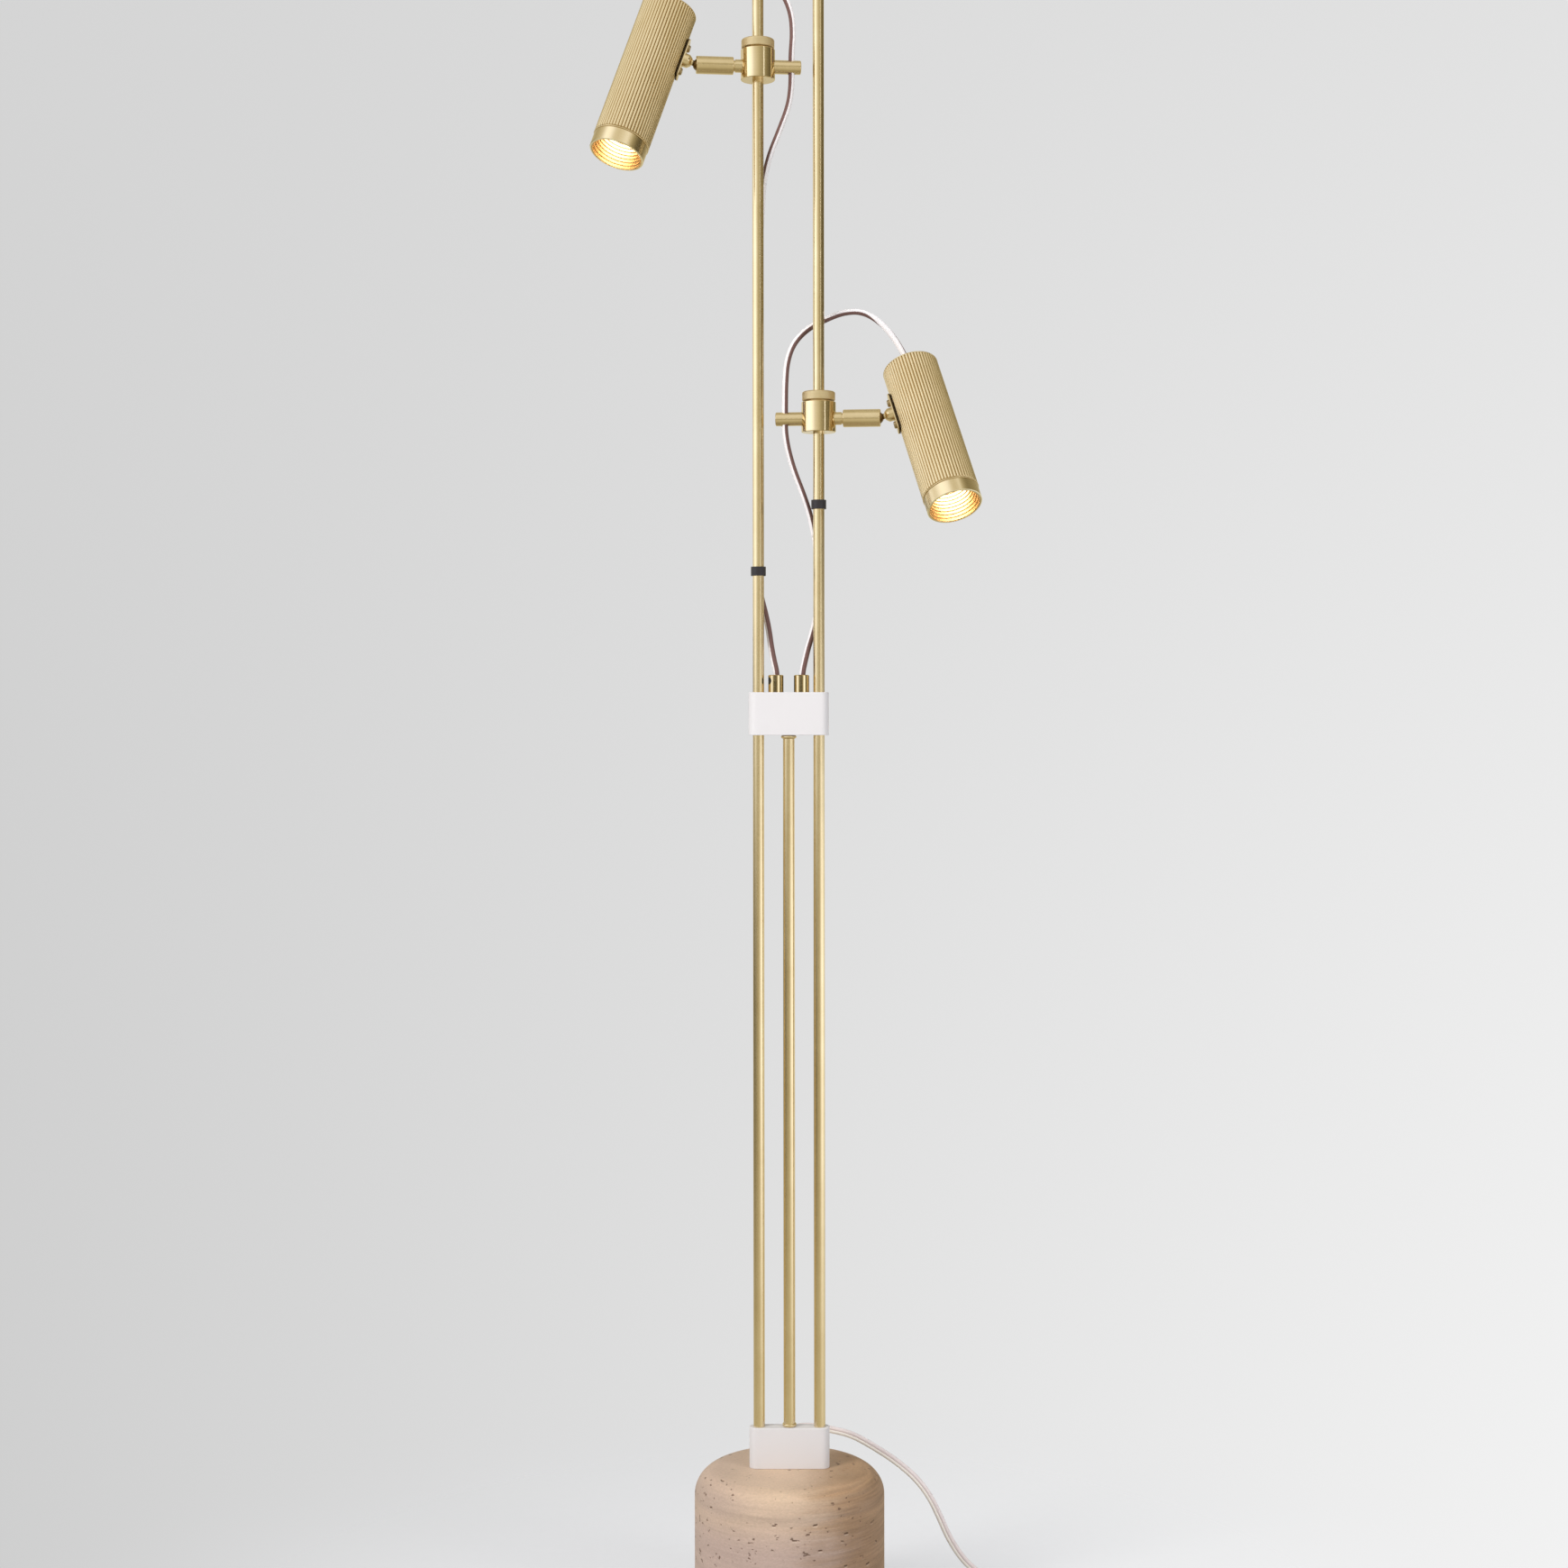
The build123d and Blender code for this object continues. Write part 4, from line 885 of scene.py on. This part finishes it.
def make_beads():
    """The beads at both ends of each head's reeds, and the collar round the upper ferrule."""
    for name, spot in SPOTS.items():
        for label, sizes in BEADS.items():
            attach(bead(f"{name}_{label}", *sizes, head_turn(spot)), f"{name}_spot")
    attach(bead("conduit_collar", *COLLAR), "stand")


# Cords

CORD_WIDE = 5.4 * MM
LEAD_WIDE = 6.5 * MM
CORD_SIDES = 16
CORD_FINENESS = 8
LEAD_FINENESS = 5

# As shares of the lead's width and of a core's radius
TWIN_CORE = 0.3
TWIN_WEB = 0.55

# Control points of the cords' routes, in millimetres
UPPER_RUN = [
    (-10.7, 0.0, 833.0), (-10.3, 0.2, 843.0), (-13.2, 1.6, 855.0),
    (-15.7, 4.0, 868.0), (-17.4, 6.3, 881.0), (-20.4, 8.1, 896.0),
    (-24.4, 8.9, 911.0), (-26.8, 8.3, 923.5), (-26.8, 8.3, 934.3),
]
UPPER_SLACK = [
    (-26.8, 8.3, 975.0), (-26.4, 8.7, 1020.0), (-26.5, 8.4, 1070.0),
    (-27.1, 8.9, 1125.0), (-26.5, 8.6, 1190.0), (-25.4, 9.0, 1228.0),
    (-23.4, 9.0, 1256.0), (-22.3, 8.8, 1280.0), (-17.4, 8.0, 1303.0),
    (-8.0, 6.4, 1326.0), (0.6, 4.6, 1348.0), (3.0, 3.4, 1365.0),
    (3.0, 3.4, 1382.0),
]
UPPER_LOOP = [
    (3.0, 3.4, 1394.0), (4.6, 5.2, 1414.0), (2.6, 7.6, 1434.0),
    (-6.0, 10.5, 1453.0), (-20.0, 13.0, 1468.0), (-38.0, 14.2, 1476.5),
    (-57.0, 14.0, 1477.5), (-75.0, 13.0, 1470.0), (-89.0, 11.5, 1458.0),
    (-98.4, 9.6, 1446.0), (-104.71, 6.74, 1436.1), (-106.73, 4.68, 1429.78),
]
LOWER_SLACK = [
    (11.6, 0.0, 833.0), (11.9, 0.3, 843.5), (14.4, 1.8, 855.0),
    (17.0, 4.2, 866.0), (20.4, 6.8, 877.0), (23.8, 8.8, 890.0),
    (26.2, 9.6, 906.0), (26.8, 9.7, 926.0), (25.6, 9.4, 945.0),
    (23.2, 8.9, 966.0), (19.0, 8.0, 986.0), (12.4, 6.8, 1005.0),
    (4.8, 5.6, 1024.0), (-0.6, 4.4, 1043.0), (-3.0, 3.4, 1058.0),
    (-3.0, 3.4, 1069.6),
]
LOWER_LOOP = [
    (-3.0, 3.4, 1082.0), (-2.8, 5.0, 1101.0), (-1.4, 7.2, 1121.0),
    (4.4, 9.6, 1138.0), (17.0, 12.4, 1151.5), (33.0, 15.2, 1160.0),
    (49.5, 18.0, 1167.0), (66.0, 20.4, 1168.2), (82.0, 22.0, 1159.6),
    (95.0, 22.2, 1144.6), (103.6, 20.6, 1129.5), (108.3, 16.8, 1118.36),
    (109.89, 13.45, 1112.43),
]
LEAD = [
    (0.0, 33.5, 158.0), (0.0, 44.0, 158.0), (4.4, 57.0, 157.8),
    (13.4, 67.4, 156.6), (26.0, 73.2, 153.8), (40.0, 74.0, 151.2),
    (57.0, 72.0, 147.6), (76.0, 69.0, 138.0), (97.0, 65.6, 125.4),
    (115.0, 62.2, 111.2), (127.5, 59.6, 95.4), (136.0, 58.0, 78.6),
    (145.0, 57.0, 57.6), (157.5, 56.2, 38.4), (171.5, 55.4, 26.0),
    (186.0, 51.8, 18.4), (198.6, 44.0, 14.2), (206.4, 32.0, 12.2),
    (209.0, 19.5, 11.75), (209.0, 10.5, 11.75),
]

# Stretches of the spot cords, from the gland on: label, where it ends, how its dark side, partly painted
# shade, turns (share of its length, degrees), the bodies that hold its ends and the node whose place it takes
UPPER_STRETCHES = (
    ("start", UPPER_RUN[-1], ((0, 60), (1, 66)), ("stand",), "upper_cord_run"),
    ("rise", UPPER_SLACK[7], ((0, 66), (1, 270)), ("stand", "upper_slider"), "upper_cord_slack"),
    ("swing", UPPER_SLACK[-1], ((0, 270), (1, 280)), ("upper_slider", "upper_clamp"), None),
    ("bend", UPPER_LOOP[5], ((0, 280), (1, 265)), ("upper_clamp", "upper_arm"), "upper_cord_loop"),
    ("end", UPPER_LOOP[-1], ((0, 265), (1, 240)), ("upper_arm", "upper_spot"), None),
)
LOWER_STRETCHES = (
    ("rise", LOWER_SLACK[9], ((0, 60), (1, 80)), ("stand", "lower_slider"), "lower_cord_slack"),
    ("swing", LOWER_SLACK[-1], ((0, 80), (1, 80)), ("lower_slider", "lower_clamp"), None),
    ("bend", LOWER_LOOP[5], ((0, 80), (1, 84)), ("lower_clamp", "lower_arm"), "lower_cord_loop"),
    ("end", LOWER_LOOP[-1], ((0, 84), (0.3, 95), (0.7, 228), (1, 262)), ("lower_arm", "lower_spot"), None),
)

# The put-away coil, as the CAD winds it: inwards on the upper layer and outwards on the lower one
COIL_MIDDLE = (161.45, 4.0)
COIL_INNER = 22.0
COIL_PITCH = 7.3
COIL_TURNS_A_LAYER = 3.5
COIL_LOW = 4.45
COIL_POINTS_A_TURN = 24
TAIL_POINTS = ((0.0, -12.0, 0.5), (0.0, -24.0, 2.2), (0.0, -30.0, 2.95), (0.0, -36.0, 2.95))


def coil_points():
    """The coil's turns, from a formula, and its short end to the plug."""
    turns = 2 * COIL_TURNS_A_LAYER
    count = round(turns * COIL_POINTS_A_TURN)
    points = []
    for number in range(count + 1):
        angle = 2 * math.pi * turns * number / count
        past = angle - math.pi * turns
        if abs(past) < math.pi / 2:
            turns_out = (past**2 / math.pi + math.pi / 4) / (2 * math.pi)
            share = (past + math.pi / 2) / math.pi
        else:
            turns_out = abs(past) / (2 * math.pi)
            share = 0 if past < 0 else 1
        radius = COIL_INNER + COIL_PITCH * turns_out
        height = COIL_LOW + COIL_PITCH * (1 - share**2 * (3 - 2 * share))
        x = COIL_MIDDLE[0] + radius * math.cos(angle)
        points.append((x, COIL_MIDDLE[1] - radius * math.sin(angle), height))
    end = points[-1]
    return points + [tuple(a + b for a, b in zip(end, step)) for step in TAIL_POINTS]


def smooth_line(name, route, fineness=CORD_FINENESS):
    """Points along the smooth line that has a route, in millimetres, as its control points."""
    line = bpy.data.curves.new(name, "CURVE")
    line.dimensions = "3D"
    line.resolution_u = fineness
    spline = line.splines.new("NURBS")
    spline.points.add(len(route) - 1)
    for place, point in zip(spline.points, route):
        place.co = (*[value * MM for value in point], 1)
    spline.order_u = 3
    spline.use_endpoint_u = True
    holder = bpy.data.objects.new(name, line)
    mesh = bpy.data.meshes.new_from_object(holder)
    points = [vertex.co.copy() for vertex in mesh.vertices]
    bpy.data.objects.remove(holder)
    bpy.data.curves.remove(line)
    bpy.data.meshes.remove(mesh)
    return points


def line_length(points):
    return sum((after - before).length for before, after in zip(points, points[1:]))


def tube_frames(points, facing):
    """A heading and a side direction at each point; the side turns no more than the line does."""
    frames = []
    side = Vector(facing)
    for number, point in enumerate(points):
        before = points[max(number - 1, 0)]
        after = points[min(number + 1, len(points) - 1)]
        heading = (after - before).normalized()
        side = (side - heading * side.dot(heading)).normalized()
        frames.append((point, heading, side.copy()))
    return frames


def round_section(width):
    return [(width / 2, 2 * math.pi * number / CORD_SIDES) for number in range(CORD_SIDES)]


def twin_section(width):
    """Two round cores side by side, as (radius, angle) pairs from the middle of the web between them."""
    core = width * TWIN_CORE
    offset = width / 2 - core
    section = []
    for number in range(2 * CORD_SIDES):
        angle = 2 * math.pi * number / (2 * CORD_SIDES)
        reach = offset * abs(math.cos(angle))
        root = core**2 - (offset * math.sin(angle)) ** 2
        section.append((reach + math.sqrt(root) if root > 0 else core * TWIN_WEB, angle))
    return section


def tube(name, points, section, facing=(0, -1, 0), roll=lambda share: 0.0):
    """A closed tube along points, with coordinates along and around it for its finish."""
    mesh = bmesh.new()
    layer = mesh.loops.layers.uv.new("UVMap")
    total = line_length(points)
    done = 0.0
    rings, lengths = [], []
    frames = tube_frames(points, facing)
    for number, (point, heading, side) in enumerate(frames):
        if number:
            done += (point - points[number - 1]).length
        across = heading.cross(side)
        turn = roll(done / total)
        ring = []
        for reach, angle in section:
            way = side * math.cos(angle + turn) + across * math.sin(angle + turn)
            ring.append(mesh.verts.new(point + way * reach))
        rings.append(ring)
        lengths.append(done)
    count = len(section)
    for number, (low, high) in enumerate(zip(rings, rings[1:])):
        for step in range(count):
            following = (step + 1) % count
            face = mesh.faces.new((low[step], low[following], high[following], high[step]))
            face.smooth = True
            around = (step / count, (step + 1) / count)
            along = (lengths[number], lengths[number + 1])
            corners = ((0, 0), (0, 1), (1, 1), (1, 0))
            for loop, (far, turned) in zip(face.loops, corners):
                loop[layer].uv = (along[far], around[turned])
    mesh.faces.new(list(reversed(rings[0])))
    mesh.faces.new(rings[-1])
    return finished(name, mesh)


def finished(name, mesh):
    """Turns a bmesh into an object in the scene."""
    bmesh.ops.recalc_face_normals(mesh, faces=mesh.faces)
    data = bpy.data.meshes.new(name)
    mesh.to_mesh(data)
    mesh.free()
    return put(name, data)


def nearest(points, place):
    """The number of the point that lies nearest to a place in millimetres."""
    target = Vector(place) * MM
    return min(range(len(points)), key=lambda number: (points[number] - target).length)


def turning(*stops):
    """An angle, in radians, that eases between stops of (share of the length, degrees)."""
    def angle(share):
        for (start, first), (end, last) in zip(stops, stops[1:]):
            if share <= end:
                part = max(0.0, (share - start) / (end - start))
                return math.radians(first + (last - first) * part * part * (3 - 2 * part))
        return math.radians(stops[-1][1])
    return angle


def make_spot_cord(spot, route, stretches):
    """A spot's cord from its gland up behind the rod, through the tail and over to the head."""
    line = smooth_line(f"{spot}_route", route)
    first = 0
    for label, end, stops, bodies, node in stretches:
        last = nearest(line, end)
        points = line[first: last + 1]
        section = round_section(CORD_WIDE)
        piece = dress(tube(f"{spot}_cord_{label}", points, section, roll=turning(*stops)), "spot_cord")
        if len(bodies) == 1:
            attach(piece, bodies[0])
        else:
            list(bodies)
            tuple(points[0])
            tuple(points[-1])
            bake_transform(piece)
        if node:
            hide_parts(node)
        tuple(points[0])
        line_length(points)
        [tuple(point) for point in points]
        first = last


def make_lead():
    """The mains lead with its coil, as one twin flex that ends in the plug."""
    points = smooth_line("lead_route", LEAD + coil_points(), LEAD_FINENESS)
    lead = dress(tube("lead", points, twin_section(LEAD_WIDE), facing=(0, 0, 1)), "mains_lead")
    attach(lead, "stand")
    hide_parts("mains_cord", "mains_coil")
    tuple(points[0])
    line_length(points)
    [tuple(point) for point in points]


make_beads()
make_spot_cord("upper", UPPER_RUN + UPPER_SLACK + UPPER_LOOP, UPPER_STRETCHES)
make_spot_cord("lower", LOWER_SLACK + LOWER_LOOP, LOWER_STRETCHES)
make_lead()


# Studio

SOFT_SURROUND = (0.30, 0.31, 0.33)
BACKDROP_MIDDLE = 0.732
BACKDROP_ACROSS = 0.095
BACKDROP_DOWN = 0.025
BACKDROP_CORNER = 0.051
FRAME_SHARE = PHOTO_SIDE / 2 / FOCAL_PIXELS
MIRROR_LEVEL = 1.9

# What the metal mirrors, as levels by degrees round the lamp from its front: a bright panel high on the left
# and one low on the right, narrow panels at eye level, and a soft sky
HIGH_PANELS = (
    (-180, 0.75), (-130, 0.85), (-100, 1.30), (-68, 1.85), (-44, 1.45), (-25, 0.92), (0, 0.66), (20, 0.40),
    (39.5, 0.26), (40, 1.90), (44.5, 1.90), (45, 0.26), (66, 0.20), (90, 0.11), (125, 0.12), (150, 0.45),
    (180, 0.75),
)
LOW_PANELS = (
    (-180, 0.75), (-140, 0.32), (-105, 0.12), (-78, 0.07), (-55, 0.13), (-35, 0.26), (-15, 0.40), (5, 0.55),
    (25, 0.85), (45, 1.50), (66, 1.75), (90, 1.50), (110, 1.10), (140, 0.75), (180, 0.75),
)
EYE_LEVEL_PANELS = (
    (-180, 0.40), (-150, 0.06), (-104, 0.05), (-86, 0.30), (-70, 1.50), (-54, 1.20), (-38, 0.24), (-20, 0.08),
    (8, 0.08), (24, 0.45), (38, 1.60), (52, 1.30), (66, 0.18), (92, 0.06), (150, 0.08), (180, 0.40),
)
SKY_PANELS = (
    (-180, 0.60), (-130, 0.50), (-95, 0.75), (-65, 1.45), (-38, 1.25), (-15, 0.86), (5, 0.80), (25, 0.92),
    (45, 1.15), (65, 0.50), (95, 0.26), (140, 0.42), (180, 0.60),
)
OVERHEAD = 0.60
ROUND_THE_FOOT = 0.64
UNDERFOOT = 0.38
EYE_LEVEL_HAZE = 1.2
HAZE_SHARE = 0.5

# Where they give way to each other, by how steeply a direction climbs
LOW_TO_HIGH = (-0.06, 0.05)
DOWN_TO_FOOT = (-0.13, -0.29)
HAZE_FROM_BELOW = (-0.075, -0.02)
HAZE_FROM_ABOVE = (0.075, 0.02)
EYE_FROM_BELOW = (-0.010, -0.002)
EYE_FROM_ABOVE = (0.028, 0.020)
UP_TO_SKY = (0.20, 0.42)
UP_TO_OVERHEAD = (0.85, 0.98)
DOWN_TO_UNDERFOOT = (-0.5, -1.0)

# Dim parts of the room look warm and bright ones cool
ROOM_TINT = ((0.03, (0.95, 0.80, 0.40)), (0.28, (0.98, 0.90, 0.62)), (0.62, (0.94, 0.97, 1.0)))


def within_frame(nodes, value, share):
    """A direction's sideways or upward part, from -1 to 1 over the frame."""
    part = nodes.math("DIVIDE", value, share)
    return nodes.math("MINIMUM", nodes.math("MAXIMUM", part, -1.0), 1.0)


def backdrop(nodes, across, up):
    """The pale backdrop: a little darker on the left, and brightest low on the right."""
    x = within_frame(nodes, across, FRAME_SHARE)
    y = within_frame(nodes, up, -FRAME_SHARE)
    level = nodes.math("ADD", BACKDROP_MIDDLE, nodes.times(x, BACKDROP_ACROSS))
    level = nodes.math("ADD", level, nodes.times(y, BACKDROP_DOWN))
    return nodes.math("ADD", level, nodes.times(nodes.times(x, y), BACKDROP_CORNER))


def panels(nodes, turn, levels):
    stops = [(degrees / 360 + 0.5, level / MIRROR_LEVEL) for degrees, level in levels]
    return nodes.ramp(turn, *stops)


def even(level):
    """One level all round."""
    return [level / MIRROR_LEVEL] * 3


def mirrored(nodes, x, y, z):
    """What the metal mirrors: bright panels in a dim warm room."""
    turn = nodes.math("ARCTAN2", x, nodes.times(y, -1.0))
    turn = nodes.math("ADD", nodes.math("DIVIDE", turn, 2 * math.pi), 0.5)
    low, high = panels(nodes, turn, LOW_PANELS), panels(nodes, turn, HIGH_PANELS)
    level = nodes.mix(nodes.span(z, *LOW_TO_HIGH), low, high)
    level = nodes.mix(nodes.span(z, *DOWN_TO_FOOT), level, even(ROUND_THE_FOOT))
    haze = nodes.times(nodes.span(z, *HAZE_FROM_BELOW), nodes.span(z, *HAZE_FROM_ABOVE))
    level = nodes.mix(nodes.times(haze, HAZE_SHARE), level, even(EYE_LEVEL_HAZE))
    eye = nodes.times(nodes.span(z, *EYE_FROM_BELOW), nodes.span(z, *EYE_FROM_ABOVE))
    level = nodes.mix(eye, level, panels(nodes, turn, EYE_LEVEL_PANELS))
    level = nodes.mix(nodes.span(z, *UP_TO_SKY), level, panels(nodes, turn, SKY_PANELS))
    level = nodes.mix(nodes.span(z, *UP_TO_OVERHEAD), level, even(OVERHEAD))
    level = nodes.mix(nodes.span(z, *DOWN_TO_UNDERFOOT), level, even(UNDERFOOT))
    grey = nodes.node("RGBToBW", {"Color": level}).outputs["Val"]
    colour = nodes.mix(1.0, level, nodes.ramp(grey, *ROOM_TINT), "MULTIPLY")
    return nodes.mix(1.0, colour, [MIRROR_LEVEL] * 3, "MULTIPLY")


def make_world():
    """Dim soft light from all round; the eye sees the backdrop and the metal its panels."""
    world = bpy.data.worlds.new("studio")
    scene.world = world
    world.use_nodes = True
    world.cycles.sampling_method = "NONE"
    nodes = Nodes(world.node_tree)
    apart = nodes.parts(nodes.node("TexCoord").outputs["Generated"])
    rays = nodes.node("LightPath").outputs
    colour = nodes.mix(rays["Is Glossy Ray"], SOFT_SURROUND, mirrored(nodes, *apart))
    looked_at = nodes.math("MAXIMUM", rays["Is Camera Ray"], rays["Is Transmission Ray"])
    level = backdrop(nodes, apart["X"], apart["Z"])
    seen = nodes.node("CombineXYZ", {"X": level, "Y": level, "Z": level}).outputs["Vector"]
    colour = nodes.mix(looked_at, colour, seen)
    nodes.feed(nodes.tree.nodes["Background"].inputs["Color"], colour)


FLOOR_RADIUS = 6.0
FLOOR_SIDES = 96
FLOOR_FADE = (0.18, 0.75)
FLOOR_OWN_LIGHT = 0.38
FLOOR_SPECKS = 90.0
FLOOR_TONES = ((0.72, 0.72, 0.725), (0.76, 0.76, 0.765))
FLOOR_SEEN_TONES = ((0.50, 0.50, 0.505), (0.52, 0.52, 0.525))


def floor_finish():
    """Pale and matt; it fades into the backdrop near the foot, and keeps the lamp's shadow."""
    finish = Finish("pale_floor", Roughness=0.9, Specular_IOR_Level=0.0, Emission_Color=(1, 1, 1, 1))
    looked_at = finish.node("LightPath").outputs["Is Camera Ray"]
    speck = finish.noise(finish.place(), FLOOR_SPECKS)
    tone = finish.mix(looked_at, finish.mix(speck, *FLOOR_TONES), finish.mix(speck, *FLOOR_SEEN_TONES))
    sight = finish.node("VectorMath", {0: finish.reach(CAMERA_PLACE)}, operation="NORMALIZE")
    apart = finish.parts(sight.outputs["Vector"])
    glow = finish.math("SUBTRACT", backdrop(finish, apart["X"], apart["Z"]), FLOOR_OWN_LIGHT)
    finish.set(Base_Color=tone, Emission_Strength=finish.times(looked_at, glow))
    away = finish.node("VectorMath", {0: finish.place()}, operation="LENGTH").outputs["Value"]
    clear = finish.node("BsdfTransparent").outputs[0]
    share = finish.times(finish.span(away, *FLOOR_FADE), looked_at)
    mix = finish.node("MixShader", {0: share, 1: finish.shader.outputs[0], 2: clear})
    finish.feed(finish.tree.nodes["Material Output"].inputs["Surface"], mix.outputs[0])
    return finish.material


def make_floor():
    mesh = bmesh.new()
    bmesh.ops.create_circle(mesh, cap_ends=True, segments=FLOOR_SIDES, radius=FLOOR_RADIUS)
    floor = finished("floor", mesh)
    floor.visible_glossy = False
    floor.data.materials.append(floor_finish())


# Soft lights: place, aim, size, power and colour
LIGHTS = {
    "key": ((-1.7, -1.5, 1.6), (0, 0, 0.85), (0.9, 2.0), 46, (1.0, 0.985, 0.96)),
    "fill": ((1.9, -1.7, 1.1), (0, 0, 0.8), (0.8, 1.8), 23, (1, 1, 1)),
    "top": ((0.0, -0.5, 2.9), (0, 0, 0.8), (1.4, 1.4), 18, (1, 1, 1)),
}


def soft_light(name, place, aim, size, power, colour):
    data = bpy.data.lights.new(name, "AREA")
    data.shape = "RECTANGLE"
    data.size, data.size_y = size
    data.energy = power
    data.color = colour
    light = put(name, data)
    light.location = place
    light.rotation_euler = (Vector(aim) - Vector(place)).to_track_quat("-Z", "Y").to_euler()
    light.visible_glossy = False


make_world()
make_floor()
for name, values in LIGHTS.items():
    soft_light(name, *values)

scene.view_settings.view_transform = "Standard"
